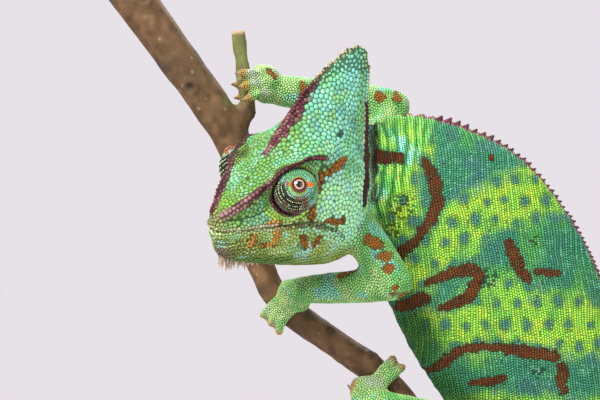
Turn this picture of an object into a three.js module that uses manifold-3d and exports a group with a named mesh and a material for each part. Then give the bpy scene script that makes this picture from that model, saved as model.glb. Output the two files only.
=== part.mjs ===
// A veiled chameleon, an adult male, life size, climbing a cut length of branch on a plain display stand.
// Millimetres, +Z up. The animal's left side faces -Y and its body climbs towards -X.
import * as THREE from "three";
import { mergeVertices } from "three/addons/utils/BufferGeometryUtils.js";
import Module from "manifold-3d";

const wasm = await Module();
wasm.setup();

// ---------------------------------------------------------------- driving dimensions
const GAP = 0.35; // between neighbouring pieces

// The head frame: x to the snout, y to the animal's left, z up the casque.
// Its origin is between the jaw joints.
const HEAD_ORIGIN = [7.4, 21.4, -7.5];
const HEAD_YAW = 223.6; // degrees about Z, so that the face turns towards -Y
const HEAD_PITCH = 1.2; // nose down
const HEAD_ROLL = -15.5; // crown leaning to the left side

const EYE = { centre: [27.5, 12.9, 14.8], turret: 7, long: 1.1, ball: 3.2, proud: 0.7 };
const GAZE = { left: [0.547, 0.656, 0.516], right: [0.3, -0.62, 0.72] }; // each eye looks its own way

const TWIG_RADIUS = [3.2, 2.4]; // at the fork and at its cut end
const CLAW = { length: 3, radius: 0.85 };
const SUNK = 0.9; // how deep a cone of a crest is rooted

const BASE = { centre: [48, 33], length: 172, width: 118, thick: 12, corner: 14, top: -203, bevel: 1.5 };
const ROD_RADIUS = 4;
const COLLAR = { radius: 10, height: 5 };

// ---------------------------------------------------------------- small helpers
const vec = (a) => new THREE.Vector3(...a);
const lerp = THREE.MathUtils.lerp;

// A smooth curve through [position, value] pairs: Hermite pieces with slopes that don't overshoot.
function profile(pairs) {
  const slope = pairs.map((pair, i) => {
    if (i === 0 || i === pairs.length - 1) return 0;
    const before = (pair[1] - pairs[i - 1][1]) / (pair[0] - pairs[i - 1][0]);
    const after = (pairs[i + 1][1] - pair[1]) / (pairs[i + 1][0] - pair[0]);
    return before * after > 0 ? (2 * before * after) / (before + after) : 0;
  });
  return (x) => {
    if (x <= pairs[0][0]) return pairs[0][1];
    const i = pairs.findIndex((pair) => x <= pair[0]);
    if (i < 0) return pairs.at(-1)[1];
    const [x0, y0] = pairs[i - 1];
    const [x1, y1] = pairs[i];
    const h = x1 - x0;
    const t = (x - x0) / h;
    const swing = h * (slope[i - 1] * (1 - t) - slope[i] * t) * t * (1 - t);
    return lerp(y0, y1, t * t * (3 - 2 * t)) + swing;
  };
}

// A closed skin through rings that hold equally many points, with a fan over each end.
function loft(rings) {
  const per = rings[0].length;
  const positions = rings.flat().flatMap((p) => [p.x, p.y, p.z]);
  const index = [];
  const fan = (start, flip) => {
    const centre = new THREE.Vector3();
    for (let k = 0; k < per; k++) {
      centre.add(new THREE.Vector3().fromArray(positions, 3 * (start + k)));
    }
    centre.divideScalar(per);
    const hub = positions.length / 3;
    positions.push(centre.x, centre.y, centre.z);
    for (let k = 0; k < per; k++) {
      const a = start + k;
      const b = start + ((k + 1) % per);
      index.push(...(flip ? [hub, b, a] : [hub, a, b]));
    }
  };
  for (let i = 0; i + 1 < rings.length; i++) {
    for (let k = 0; k < per; k++) {
      const a = i * per + k;
      const b = i * per + ((k + 1) % per);
      index.push(a, b, b + per, a, b + per, a + per);
    }
  }
  fan(0, true);
  fan((rings.length - 1) * per, false);
  return new THREE.BufferGeometry()
    .setAttribute("position", new THREE.Float32BufferAttribute(positions, 3))
    .setIndex(index);
}

// A three.js geometry as a manifold-3d solid, turned to face outwards.
function solid(geometry) {
  const bare = geometry.clone();
  bare.deleteAttribute("normal");
  bare.deleteAttribute("uv");
  const merged = mergeVertices(bare, 1e-4);
  const triVerts = new Uint32Array(merged.index.array);
  const vertProperties = merged.attributes.position.array;
  const made = new wasm.Manifold(new wasm.Mesh({ numProp: 3, vertProperties, triVerts }));
  if (made.volume() > 0) return made;
  for (let i = 0; i < triVerts.length; i += 3) {
    [triVerts[i + 1], triVerts[i + 2]] = [triVerts[i + 2], triVerts[i + 1]];
  }
  return new wasm.Manifold(new wasm.Mesh({ numProp: 3, vertProperties, triVerts }));
}

// The largest body of a solid, for a cut that leaves a sliver behind.
const largest = (made) => made.decompose().sort((a, b) => b.volume() - a.volume())[0];

const union = (solids) => solids.reduce((whole, next) => whole.add(next));

// A solid's triangles as a three.js geometry.
function geometryOf(made) {
  const mesh = made.getMesh();
  const points = new Float32Array(mesh.numVert * 3);
  for (let i = 0; i < mesh.numVert; i++) {
    points.set(mesh.vertProperties.subarray(i * mesh.numProp, i * mesh.numProp + 3), i * 3);
  }
  const geometry = new THREE.BufferGeometry()
    .setAttribute("position", new THREE.BufferAttribute(points, 3))
    .setIndex(new THREE.BufferAttribute(mesh.triVerts, 1));
  geometry.computeVertexNormals();
  return geometry;
}

// Rings of a round or oval tube along a smooth curve, with a radius that runs from end to end.
// Each share of the radius in domed adds one more ring past the end, on a ball's outline.
function tubeRings(curve, radius, { around = 8, steps = 6, wide = 1, side, domed = [] } = {}) {
  const rings = [];
  let across = side ? vec(side) : null;
  const ring = (t, r, shift) => {
    const along = curve.getTangentAt(t);
    const centre = curve.getPointAt(t).addScaledVector(along, shift);
    if (!across) across = Math.abs(along.z) < 0.9 ? new THREE.Vector3(0, 0, 1) : new THREE.Vector3(1, 0, 0);
    across = across.clone().addScaledVector(along, -across.dot(along)).normalize();
    const over = along.clone().cross(across);
    const points = [];
    for (let k = 0; k < around; k++) {
      const angle = (2 * Math.PI * k) / around;
      points.push(
        centre
          .clone()
          .addScaledVector(across, r * wide * Math.cos(angle))
          .addScaledVector(over, r * Math.sin(angle)),
      );
    }
    rings.push(points);
  };
  for (let i = 0; i <= steps; i++) ring(i / steps, radius(i / steps), 0);
  for (const share of domed) ring(1, radius(1) * share, radius(1) * Math.sqrt(1 - share * share));
  return rings;
}

const path = (...points) => new THREE.CatmullRomCurve3(points.map(vec), false, "centripetal");
const tube = (curve, radius, options) => solid(loft(tubeRings(curve, radius, options)));

// A ball as a solid, its three radii along three given directions.
function ellipsoid(centre, radii, axes, [around, down] = [12, 8]) {
  const basis = new THREE.Matrix4().makeBasis(...axes).setPosition(centre);
  const geometry = new THREE.SphereGeometry(1, around, down).rotateX(Math.PI / 2).scale(...radii);
  return solid(geometry.applyMatrix4(basis));
}

// A three-sided cone that stands on a point and leans along a direction.
function cone(root, along, radius, length) {
  const geometry = new THREE.ConeGeometry(radius, length, 3).translate(0, length / 2, 0);
  const turn = new THREE.Quaternion().setFromUnitVectors(new THREE.Vector3(0, 1, 0), along);
  return solid(geometry.applyQuaternion(turn).translate(root.x, root.y, root.z));
}

// Three directions at right angles, the last along a given one.
function axesAlong(axis) {
  const side = new THREE.Vector3(0, 0, 1).cross(axis).normalize();
  return [side, axis.clone().cross(side), axis];
}

// ---------------------------------------------------------------- the head
const headTurn = new THREE.Matrix4().makeRotationFromEuler(
  new THREE.Euler(...[HEAD_ROLL, HEAD_PITCH, HEAD_YAW].map(THREE.MathUtils.degToRad), "ZYX"),
);
const headMatrix = new THREE.Matrix4().makeTranslation(...HEAD_ORIGIN).multiply(headTurn);
const inHead = (a) => vec(a).applyMatrix4(headMatrix);
const alongHead = (a) => vec(a).applyMatrix4(headTurn).normalize();

// Outlines of the head against x, from the back of the casque to the snout.
const head = {
  stations: [-12.2, -9.6, -8.2, -6, -2, 3, 8, 13, 18, 22, 26, 30, 34, 38, 42, 45.2, 47.2, 48],
  // height of the crown along the middle: casque, its front crest and the forehead
  crown: profile([
    [-12.2, 36], [-9.6, 43.5], [-8.2, 53], [-6, 57.5], [-3, 59.4], [2, 58.3], [9, 53.6], [15, 48.4],
    [20.5, 41.8], [25, 34], [29.5, 25.4], [34, 19.8], [38, 15], [42, 10.5], [45.5, 6.6], [48, 3.6],
  ]),
  // the ridge that runs from the nostril over the eye and up the side of the casque
  ridgeHeight: profile([
    [-12.2, 12], [-8.2, 16], [0, 22], [6, 25.4], [12, 26.9], [18, 27], [24, 26],
    [27, 25.2], [30, 23.7], [33, 20.9], [35.7, 17.7], [38, 14.8], [42, 10.1], [45.4, 5.8], [48, 3],
  ]),
  ridgeOut: profile([
    [-12.2, 7.4], [-8.2, 10.4], [0, 12.3], [6, 13.4], [12, 14.4], [18, 15], [24, 15],
    [27, 14.5], [30, 13.4], [33, 12], [38, 9], [42, 6.4], [45.4, 3.8], [47.2, 2.6], [48, 1.7],
  ]),
  mouthHeight: profile([
    [-12.2, 1], [-4, -2.4], [4, -3], [9, -0.9], [13, 1.2], [18, 3],
    [24, 3.6], [30, 3], [37, 1.8], [43, 0.7], [48, 0],
  ]),
  mouthOut: profile([
    [-12.2, 6.6], [-6, 11], [0, 12.8], [9, 13.7], [17, 13.4], [24, 12.4], [30, 11.1],
    [36, 9.2], [41, 7.1], [45, 5], [47.2, 3.2], [48, 1.8],
  ]),
  cheekOut: profile([
    [-12.2, 7.6], [-6, 12], [0, 13.8], [9, 14.2], [17, 13.2], [24, 11.6], [30, 10.4],
    [36, 8.6], [41, 6.6], [45, 4.7], [47.2, 3.2], [48, 1.8],
  ]),
  jawBottom: profile([
    [-12.2, -3], [-6, -10], [2, -12.6], [10, -13], [20, -12.6],
    [30, -11.8], [38, -11], [42.5, -9.9], [45, -7.6], [47.2, -2.6],
  ]),
  // how far the lower jaw narrows towards the chin
  chin: profile([[14, 0], [34, 0.35], [44, 1]]),
  // how sharply the crown comes to an edge: high on the casque, low on the forehead
  edge: profile([[-12, 1.3], [0, 1.45], [16, 1.45], [24, 1.2], [30, 0.95], [48, 0.9]]),
  // how hollow the face between crown and side ridge is
  hollow: profile([[-12, 0], [0, 0.4], [14, 1.4], [24, 1.6], [32, 0.9], [42, 0.4], [48, 0]]),
};

// One cross-section of the upper head: from the crown down the left side, and back up the right.
function upperHeadRing(x, grow) {
  const crown = head.crown(x);
  const ridge = head.ridgeHeight(x);
  const out = head.ridgeOut(x);
  const mouth = head.mouthHeight(x);
  const levels = [0.14, 0.36, 0.6, 0.83];
  const half = [[0.25, crown + grow]];
  for (const level of levels) {
    const sag = head.hollow(x) * Math.sin(Math.PI * level);
    half.push([0.35 + (out - 0.35) * level ** head.edge(x) + grow, lerp(crown, ridge, level) - sag]);
  }
  half.push([out + grow, ridge]);
  half.push([lerp(out, head.cheekOut(x), 0.35) - 0.5 + grow, lerp(ridge, mouth, 0.22)]);
  half.push([head.cheekOut(x) + grow, lerp(ridge, mouth, 0.55)]);
  half.push([lerp(head.cheekOut(x), head.mouthOut(x), 0.6) + grow, lerp(ridge, mouth, 0.82)]);
  half.push([head.mouthOut(x) + grow, mouth - grow + 0.1]);
  half.push([head.mouthOut(x) * 0.5, mouth - grow]);
  return mirrored(x, half);
}

// One cross-section of the lower jaw and throat.
function jawRing(x, grow) {
  const top = head.mouthHeight(x) - GAP;
  const out = head.mouthOut(x) - lerp(0.2, 0.5, head.chin(x));
  const bottom = Math.min(head.jawBottom(x), top - 1.2);
  const half = [[out * 0.5, top + grow], [out + grow, top + grow]];
  const full = [[1.02, 0.28], [0.9, 0.58], [0.62, 0.84], [0.25, 0.99]];
  const narrow = [0.8, 0.52, 0.32, 0.14];
  for (const [i, [wide, level]] of full.entries()) {
    const breadth = out * lerp(wide, narrow[i], head.chin(x));
    half.push([breadth + grow, lerp(top, bottom, level) - (i > 2 ? grow : 0)]);
  }
  return mirrored(x, half);
}

const mirrored = (x, half) => [
  ...half.map(([y, z]) => inHead([x, y, z])),
  ...half.toReversed().map(([y, z]) => inHead([x, -y, z])),
];

function upperHead(grow = 0) {
  return solid(loft(head.stations.map((x) => upperHeadRing(x, grow))));
}

function lowerJaw(grow = 0) {
  const stations = head.stations.slice(2, -1);
  return solid(loft(stations.map((x) => jawRing(x, grow))));
}

// A row of small cones standing on a line, each leaning by the same vector.
function spikes(line, count, heightAt, widthAt, leanAt) {
  const made = [];
  for (let i = 0; i < count; i++) {
    const t = (i + 0.5) / count;
    const height = heightAt(t);
    const lean = leanAt(t).clone().normalize();
    const root = line(t).addScaledVector(lean, -SUNK);
    made.push(cone(root, lean, widthAt(t), height + SUNK));
  }
  return union(made);
}

// The beard: cones under the chin, longest at the front.
function beard() {
  const line = (t) => inHead([lerp(44.6, 17, t), 0, head.jawBottom(lerp(44.6, 17, t)) + 0.4]);
  const lean = (t) => alongHead([lerp(0.35, -0.25, t), 0, -1]);
  return spikes(line, 13, (t) => lerp(3.4, 1.2, t), (t) => lerp(0.85, 0.6, t), lean);
}

const sides = { left: 1, right: -1 };

const eyeCentre = (side) => inHead([EYE.centre[0], EYE.centre[1] * sides[side], EYE.centre[2]]);

// The scaly dome round the eye, longer along the gaze.
function eyeDome(side, grow = 0) {
  const r = EYE.turret + grow;
  return ellipsoid(eyeCentre(side), [r, r, r * EYE.long], axesAlong(alongHead(GAZE[side])), [12, 8]);
}

function eyeBall(side, grow = 0) {
  const gaze = alongHead(GAZE[side]);
  const r = EYE.ball + grow;
  const centre = eyeCentre(side).addScaledVector(gaze, EYE.turret * EYE.long - EYE.ball + EYE.proud);
  return ellipsoid(centre, [r, r, r], axesAlong(gaze), [10, 6]);
}

// ---------------------------------------------------------------- neck, trunk and tail
// Stations of the body: its centre, the directions of its back and left side, and its half sizes
// to the back, to the belly and to each side.
const stations = [
  { at: [14, 22, 8], back: [0.17, -0.21, 0.96], left: [0.67, -0.69, -0.27], up: 14, down: 10, wide: 7.5 },
  { at: [24, 31, 8], back: [0.25, -0.15, 0.95], left: [0.4, -0.9, -0.25], up: 21, down: 16, wide: 10 },
  { at: [32, 34, 7.5], back: [0.48, -0.12, 0.87], left: [0.1, -0.98, -0.15], up: 23.5, down: 22, wide: 11.8 },
  { at: [39, 34.5, 2.5], back: [0.66, -0.1, 0.74], left: [0, -1, -0.12], up: 28, down: 26.5, wide: 13.2 },
  { at: [50.3, 33.5, -8.6], back: [0.72, -0.08, 0.69], left: [0, -1, -0.1], up: 33, down: 32, wide: 14.8 },
  { at: [63.5, 33, -28.8], back: [0.77, -0.05, 0.63], left: [0, -1, -0.06], up: 35.2, down: 35, wide: 15.6 },
  { at: [75, 32.5, -48.3], back: [0.82, -0.02, 0.57], left: [0, -1, -0.02], up: 33, down: 33.5, wide: 15.4 },
  { at: [82, 32, -66], back: [0.92, 0, 0.36], left: [0, -1, 0], up: 30, down: 30, wide: 14.4 },
  { at: [86, 32, -84], back: [0.98, 0, 0.17], left: [0, -1, 0], up: 25, down: 26, wide: 13 },
  { at: [88, 32, -101], back: [1, 0, 0.02], left: [0, -1, 0], up: 19, down: 19.8, wide: 11.6 },
  { at: [88.8, 31.5, -114], back: [1, 0, -0.02], left: [0, -1, 0], up: 13.8, down: 14.6, wide: 10 },
  { at: [89, 31, -128], back: [1, 0, 0], left: [0, -1, 0], up: 9.8, down: 9.8, wide: 8.4 },
];
const NECK_END = 2.1;
const CHEST_END = 5;
const TRUNK_END = 11;
const RINGS_PER_STATION = 2;

const bodyLine = new THREE.CatmullRomCurve3(stations.map((s) => vec(s.at)), false, "catmullrom", 0.5);
const throughStations = (read) => profile(stations.map((s, i) => [i, read(s)]));
const body = {
  up: throughStations((s) => s.up),
  down: throughStations((s) => s.down),
  wide: throughStations((s) => s.wide),
  back: [0, 1, 2].map((k) => throughStations((s) => s.back[k])),
  left: [0, 1, 2].map((k) => throughStations((s) => s.left[k])),
};

function bodyFrame(s) {
  const centre = bodyLine.getPoint(s / (stations.length - 1));
  const back = vec(body.back.map((f) => f(s))).normalize();
  const left = vec(body.left.map((f) => f(s)));
  left.addScaledVector(back, -left.dot(back)).normalize();
  return { centre, back, left };
}

// A section of the body: a lens that narrows to a keel along the back and is rounder at the belly.
function bodyRing(s, grow) {
  const { centre, back, left } = bodyFrame(s);
  const points = [];
  const around = 16;
  for (let k = 0; k < around; k++) {
    const angle = (2 * Math.PI * k) / around;
    const c = Math.cos(angle);
    const keel = c > 0 ? 1 - 0.42 * c ** 3 : 1 - 0.12 * Math.abs(c) ** 3;
    const height = c > 0 ? c * (body.up(s) + grow) : c * (body.down(s) + grow);
    points.push(
      centre
        .clone()
        .addScaledVector(back, height)
        .addScaledVector(left, (body.wide(s) + grow) * Math.sin(angle) * keel),
    );
  }
  return points;
}

function bodyLength(from, to, grow = 0) {
  const count = Math.max(2, Math.round((to - from) * RINGS_PER_STATION));
  const rings = [];
  for (let i = 0; i <= count; i++) rings.push(bodyRing(lerp(from, to, i / count), grow));
  return solid(loft(rings));
}

const backLine = (s, lift) => {
  const { centre, back } = bodyFrame(s);
  return centre.addScaledVector(back, body.up(s) + lift);
};

// The crest along the back, highest over the shoulders.
function backCrest(from, to, count) {
  const at = (t) => lerp(from, to, t);
  const lean = (t) => bodyFrame(at(t)).back;
  const height = (t) => lerp(2.6, 0.9, THREE.MathUtils.smoothstep(at(t), 3, 9));
  return spikes((t) => backLine(at(t), 0), count, height, () => 1.35, lean);
}

// The tail: straight down from the hips, then a coil that tightens in the plane of the back and belly.
const TAIL = { drop: 37, coil: 27, inner: 5.5, turns: 1.62, swing: 11, thick: 9.8, tip: 1.3, flat: 0.84 };
const tailStart = stations.at(-1).at;

class TailCurve extends THREE.Curve {
  getPoint(t, target = new THREE.Vector3()) {
    const share = 0.19;
    const [x, y, z] = tailStart;
    if (t < share) {
      const u = t / share;
      return target.set(x, y - 1.5 * u * u, z - TAIL.drop * u);
    }
    const u = (t - share) / (1 - share);
    const wound = 1 - (1 - u) ** 1.5;
    const angle = 2 * Math.PI * TAIL.turns * wound;
    const r = lerp(TAIL.inner, TAIL.coil, (1 - wound) ** 1.5);
    return target.set(
      x - TAIL.coil + r * Math.cos(angle),
      y - 1.5 - TAIL.swing * THREE.MathUtils.smoothstep(u, 0, 0.8),
      z - TAIL.drop - r * Math.sin(angle),
    );
  }
}
const tailCurve = new TailCurve();
tailCurve.arcLengthDivisions = 600;
const tailRadius = (t) => lerp(TAIL.thick, TAIL.tip, t ** 0.62);

function tailLength(from, to, steps) {
  const part = new (class extends THREE.Curve {
    getPoint(t, target) {
      return tailCurve.getPointAt(lerp(from, to, t), target);
    }
  })();
  const options = { around: 8, steps, side: [0, -1, 0], wide: TAIL.flat };
  return tube(part, (t) => tailRadius(lerp(from, to, t)), options);
}

// ---------------------------------------------------------------- the branch and the limbs that hold it
// It forks once: past the fork it is thinner, and the twig leaves upwards.
const branchCurve = path(
  [-64.1, 46, 79], [-55.7, 46, 67.5], [-42.2, 46, 48.9], [-28.2, 46, 29.7],
  [-21.5, 46.5, 18], [-17.4, 47, 4], [-16, 47, -10], [-13, 45.5, -24],
  [-4.5, 42, -36.5], [9.5, 38, -46.5], [26, 34.5, -57.5], [40, 32.5, -74],
  [50, 34, -95], [56, 37.5, -115], [58, 39.5, -130], [58, 39.5, -136],
);
branchCurve.arcLengthDivisions = 400;
const branchThickness = profile([[0, 7.1], [0.26, 6.7], [0.4, 5.1], [0.7, 4.8], [1, 5.2]]);
const branchRadius = (t) => branchThickness(t) * (1 + 0.035 * Math.sin(23 * t) + 0.02 * Math.sin(61 * t));
const branch = (grow = 0) => tube(branchCurve, (t) => branchRadius(t) + grow, { around: 8, steps: 23 });

const twigCurve = path(
  [-20.5, 46, 24], [-17.2, 46.5, 30.5], [-18.6, 47, 39], [-20, 47.6, 48], [-20.8, 48, 57],
);
const twigRadius = (t) => lerp(...TWIG_RADIUS, t);
const twig = (grow = 0) => tube(twigCurve, (t) => twigRadius(t) + grow, { around: 7, steps: 5 });

// Where a foot holds a stem: the place on it nearest to a point, and the side that the palm comes from.
function hold(curve, radiusAt, near, from) {
  const points = curve.getSpacedPoints(200);
  const distances = points.map((p) => p.distanceTo(vec(near)));
  const t = distances.indexOf(Math.min(...distances)) / 200;
  const axis = curve.getTangentAt(t);
  const palm = vec(from);
  palm.addScaledVector(axis, -palm.dot(axis)).normalize();
  return { centre: curve.getPointAt(t), axis, palm, across: axis.clone().cross(palm), radius: radiusAt(t) };
}

// A point beside a held stem: at an angle round it from the palm, so far off its surface and so far along it.
const beside = (h, angle, lift, offset) =>
  h.centre
    .clone()
    .addScaledVector(h.palm, Math.cos(angle) * (h.radius + lift))
    .addScaledVector(h.across, Math.sin(angle) * (h.radius + lift))
    .addScaledVector(h.axis, offset);

// A toe that bends round the stem, thick where it is bound to the others, with a claw at its end.
function toe(h, side, offset, { toeRadius, reach }) {
  const at = (share) => beside(h, side * reach * share, toeRadius + 0.45, offset * lerp(0.7, 1.3, share));
  const line = new THREE.CatmullRomCurve3([0.15, 0.5, 0.8, 1].map(at), false, "centripetal");
  const finger = tube(line, (t) => toeRadius * lerp(1.12, 0.85, t), { around: 5, steps: 2, domed: [0.6] });
  const along = line.getTangentAt(1);
  const root = line.getPointAt(1).addScaledVector(along, toeRadius * 0.45);
  return finger.add(cone(root, along, CLAW.radius, CLAW.length));
}

// A grasping foot: a pad behind the stem and two bundles of toes that close round it from both sides.
function graspingFoot(h, foot) {
  const [along, thick, over] = foot.pad;
  const palm = beside(h, 0, thick * 0.7, 0);
  const made = [ellipsoid(palm, [over, along, thick], [h.across, h.axis, h.palm], [8, 6])];
  if (foot.spur) {
    const heel = beside(h, 0, thick * 1.2, -along * 0.55);
    const back = h.axis.clone().multiplyScalar(-1).addScaledVector(h.palm, 0.25).normalize();
    made.push(cone(heel, back, foot.spur, along * 0.45 + foot.spur));
  }
  for (const [bundle, count] of foot.toes.entries()) {
    for (let i = 0; i < count; i++) {
      const offset = (i - (count - 1) / 2) * foot.spread;
      made.push(toe(h, bundle ? -1 : 1, offset, foot));
    }
  }
  return union(made);
}

const ARM = [6.9, 5.9, 4.6]; // radii at shoulder, elbow and wrist
const LEG = [8.4, 6.4, 4.8]; // at hip, knee and ankle
const HAND = { toeRadius: 1.95, reach: 2.2, spread: 3.1, pad: [6.8, 5.2, 6.2] };
const FOOT = { toeRadius: 2.05, reach: 2.2, spread: 3.3, pad: [7.2, 5.4, 6.6], spur: 1.4 };

const limbs = {
  left_arm: {
    joints: [[14.5, 27, -3], [31, 13, -27]],
    grip: hold(branchCurve, branchRadius, [-4.5, 42, -36.5], [8, -10, 2]),
    size: ARM,
    foot: { ...HAND, toes: [3, 2] },
    names: ["upper_arm_left", "forearm_left", "hand_left"],
  },
  right_arm: {
    joints: [[21, 43, 5], [32, 58, 32.6]],
    grip: hold(twigCurve, twigRadius, [-18.5, 47, 38], [12, 2, -8]),
    size: [6.9, 6.3, 5.6],
    wrist: [0.8, 0, -3],
    foot: { ...HAND, reach: 1.9, spread: 3.5, pad: [7.4, 6, 7], toes: [2, 3] },
    names: ["upper_arm_right", "forearm_right", "hand_right"],
  },
  left_leg: {
    joints: [[83, 26, -99], [64, 7, -75]],
    grip: hold(branchCurve, branchRadius, [27.5, 34, -58.5], [-5, -8, -10]),
    size: LEG,
    foot: { ...FOOT, toes: [3, 2] },
    names: ["thigh_left", "shank_left", "foot_left"],
  },
  right_leg: {
    joints: [[83, 40, -99], [77, 64, -77]],
    grip: hold(branchCurve, branchRadius, [43, 32.5, -80], [8, 18, 3]),
    size: LEG,
    foot: { ...FOOT, toes: [2, 3] },
    names: ["thigh_right", "shank_right", "foot_right"],
  },
};

function limbPieces({ joints, grip, size, foot, wrist = [0, 0, 0] }) {
  const [root, bend] = joints.map(vec);
  const [r0, r1, r2] = size;
  const heel = beside(grip, 0, foot.pad[1] * 1.35, 0).add(vec(wrist));
  const swell = (t) => 0.55 * Math.sin(Math.PI * t);
  const upperLine = new THREE.LineCurve3(root, bend);
  const lowerLine = new THREE.LineCurve3(bend, heel);
  const options = { around: 9, steps: 3, domed: [0.8] };
  return {
    upper: (grow) => tube(upperLine, (t) => lerp(r0, r1, t) + swell(t) + grow, options),
    lower: (grow) => tube(lowerLine, (t) => lerp(r1 * 0.97, r2, t) + swell(t) + grow, options),
    foot: () => graspingFoot(grip, foot),
  };
}

// ---------------------------------------------------------------- the display stand
function standBase() {
  const { length, width, thick, corner, bevel } = BASE;
  const x = length / 2 - bevel;
  const y = width / 2 - bevel;
  const outline = new THREE.Shape();
  outline.moveTo(-x + corner, -y);
  outline.lineTo(x - corner, -y).absarc(x - corner, -y + corner, corner, -Math.PI / 2, 0);
  outline.lineTo(x, y - corner).absarc(x - corner, y - corner, corner, 0, Math.PI / 2);
  outline.lineTo(-x + corner, y).absarc(-x + corner, y - corner, corner, Math.PI / 2, Math.PI);
  outline.lineTo(-x, -y + corner).absarc(-x + corner, -y + corner, corner, Math.PI, 1.5 * Math.PI);
  const options = {
    depth: thick - 2 * bevel,
    bevelEnabled: true,
    bevelThickness: bevel,
    bevelSize: bevel,
    bevelSegments: 1,
    curveSegments: 3,
  };
  const plate = new THREE.ExtrudeGeometry(outline, options);
  return solid(plate.translate(BASE.centre[0], BASE.centre[1], BASE.top - thick + bevel));
}

// A rod from the base to the cut end of the branch, with a collar at its foot.
function standRod() {
  const top = branchCurve.getPointAt(1);
  const end = top.z - GAP;
  const foot = BASE.top + GAP;
  const shoulder = foot + COLLAR.height;
  const outline = [
    [0, foot],
    [COLLAR.radius, foot],
    [COLLAR.radius, shoulder - 1],
    [COLLAR.radius - 1, shoulder],
    [ROD_RADIUS, shoulder],
    [ROD_RADIUS, end],
    [0, end],
  ].map(([r, z]) => new THREE.Vector2(r, z));
  return solid(new THREE.LatheGeometry(outline, 14).rotateX(Math.PI / 2).translate(top.x, top.y, 0));
}

// ---------------------------------------------------------------- putting it together
const colours = {
  skin: [0x6fbf5a, 0.55, 0],
  throat: [0x93c36a, 0.55, 0],
  eye: [0x1d1512, 0.15, 0],
  bark: [0x8a735c, 0.85, 0],
  wood: [0x5b4636, 0.5, 0],
  steel: [0x2a2a2c, 0.4, 0.8],
};
const material = (slot) => {
  const [color, roughness, metalness] = colours[slot];
  return new THREE.MeshStandardMaterial({ color, roughness, metalness });
};

const group = new THREE.Group();
function place(name, made, slot = "skin") {
  const mesh = new THREE.Mesh(geometryOf(largest(made)), material(slot));
  mesh.name = name;
  group.add(mesh);
}

const headRoom = union([upperHead(GAP), lowerJaw(GAP)]);
const trunkRoom = bodyLength(NECK_END, TRUNK_END, GAP);
const neckRoom = bodyLength(0, NECK_END, GAP);
const clearOfBody = (made) => made.subtract(headRoom).subtract(trunkRoom).subtract(neckRoom);

const domes = Object.keys(sides).map((side) => eyeDome(side, GAP));
place("head", upperHead().subtract(union(domes)));
place("lower_jaw", lowerJaw().add(beard()), "throat");
for (const side of Object.keys(sides)) {
  place("eye_turret_" + side, eyeDome(side).subtract(eyeBall(side, GAP)));
  place("eyeball_" + side, eyeBall(side), "eye");
}

const neck = bodyLength(0, NECK_END).add(backCrest(1.1, NECK_END - 0.1, 5));
const chest = bodyLength(NECK_END, CHEST_END - 0.02).add(backCrest(NECK_END + 0.1, CHEST_END - 0.1, 14));
place("neck", neck.subtract(headRoom).subtract(trunkRoom));
place("chest", chest.subtract(headRoom));
place("belly", bodyLength(CHEST_END, TRUNK_END).add(backCrest(CHEST_END + 0.1, TRUNK_END - 0.6, 18)));

for (const limb of Object.values(limbs)) {
  const { upper, lower, foot } = limbPieces(limb);
  const [upperName, lowerName, footName] = limb.names;
  place(upperName, clearOfBody(upper(0)));
  place(lowerName, clearOfBody(lower(0).subtract(upper(GAP))));
  place(footName, clearOfBody(foot().subtract(lower(GAP)).subtract(branch(GAP)).subtract(twig(GAP))));
}

const tailCuts = [0, 0.3, 0.62, 1];
["tail_base", "tail_middle", "tail_tip"].forEach((name, i) => {
  place(name, tailLength(tailCuts[i] + 0.0015, tailCuts[i + 1], [6, 11, 18][i]));
});

place("perch_branch", branch(), "bark");
place("perch_twig", twig().subtract(branch(GAP)), "bark");
place("stand_base", standBase(), "wood");
place("stand_rod", standRod(), "steel");

// The part's origin is at the middle of its footprint, on the surface it stands on.
const box = new THREE.Box3().setFromObject(group);
group.position.set(-(box.min.x + box.max.x) / 2, -(box.min.y + box.max.y) / 2, -box.min.z);

export default group;
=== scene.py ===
"""Looks of a life-size male veiled chameleon on a cut branch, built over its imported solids."""

import itertools
import logging
import math
from dataclasses import dataclass, field
from enum import Enum
from typing import Any, Callable, Iterable, Sequence

import bmesh
import bpy
import numpy as np
from mathutils import Matrix, Vector
from mathutils.bvhtree import BVHTree
from mathutils.kdtree import KDTree


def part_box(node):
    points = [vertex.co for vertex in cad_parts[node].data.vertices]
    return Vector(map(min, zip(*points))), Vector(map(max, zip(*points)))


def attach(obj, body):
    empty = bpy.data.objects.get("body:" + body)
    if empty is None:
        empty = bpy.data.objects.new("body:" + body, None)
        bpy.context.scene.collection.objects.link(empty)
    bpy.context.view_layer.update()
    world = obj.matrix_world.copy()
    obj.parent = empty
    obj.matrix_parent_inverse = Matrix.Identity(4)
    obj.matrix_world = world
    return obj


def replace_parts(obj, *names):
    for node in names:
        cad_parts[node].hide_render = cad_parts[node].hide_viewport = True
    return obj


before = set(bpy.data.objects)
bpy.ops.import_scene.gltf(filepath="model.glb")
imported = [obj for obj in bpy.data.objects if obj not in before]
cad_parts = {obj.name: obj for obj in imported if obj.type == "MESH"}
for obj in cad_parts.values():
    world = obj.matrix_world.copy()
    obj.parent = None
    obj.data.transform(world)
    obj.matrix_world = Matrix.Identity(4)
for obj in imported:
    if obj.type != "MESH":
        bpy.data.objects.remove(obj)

LOG = logging.getLogger("chameleon")

Colour = tuple[float, float, float]
Array = np.ndarray
BMesh, Mesh, Material = bmesh.types.BMesh, bpy.types.Mesh, bpy.types.Material

MM = 0.001
SEED = 7
FLESH_GROWTH = 0.25  # mm that each solid swells, so that neighbours meet
COAT_DEPTH = 0.3  # mm that the skin lies under the solids' surface
PIECE_LIMIT = 185_000  # triangles in one piece of the coat


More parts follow.
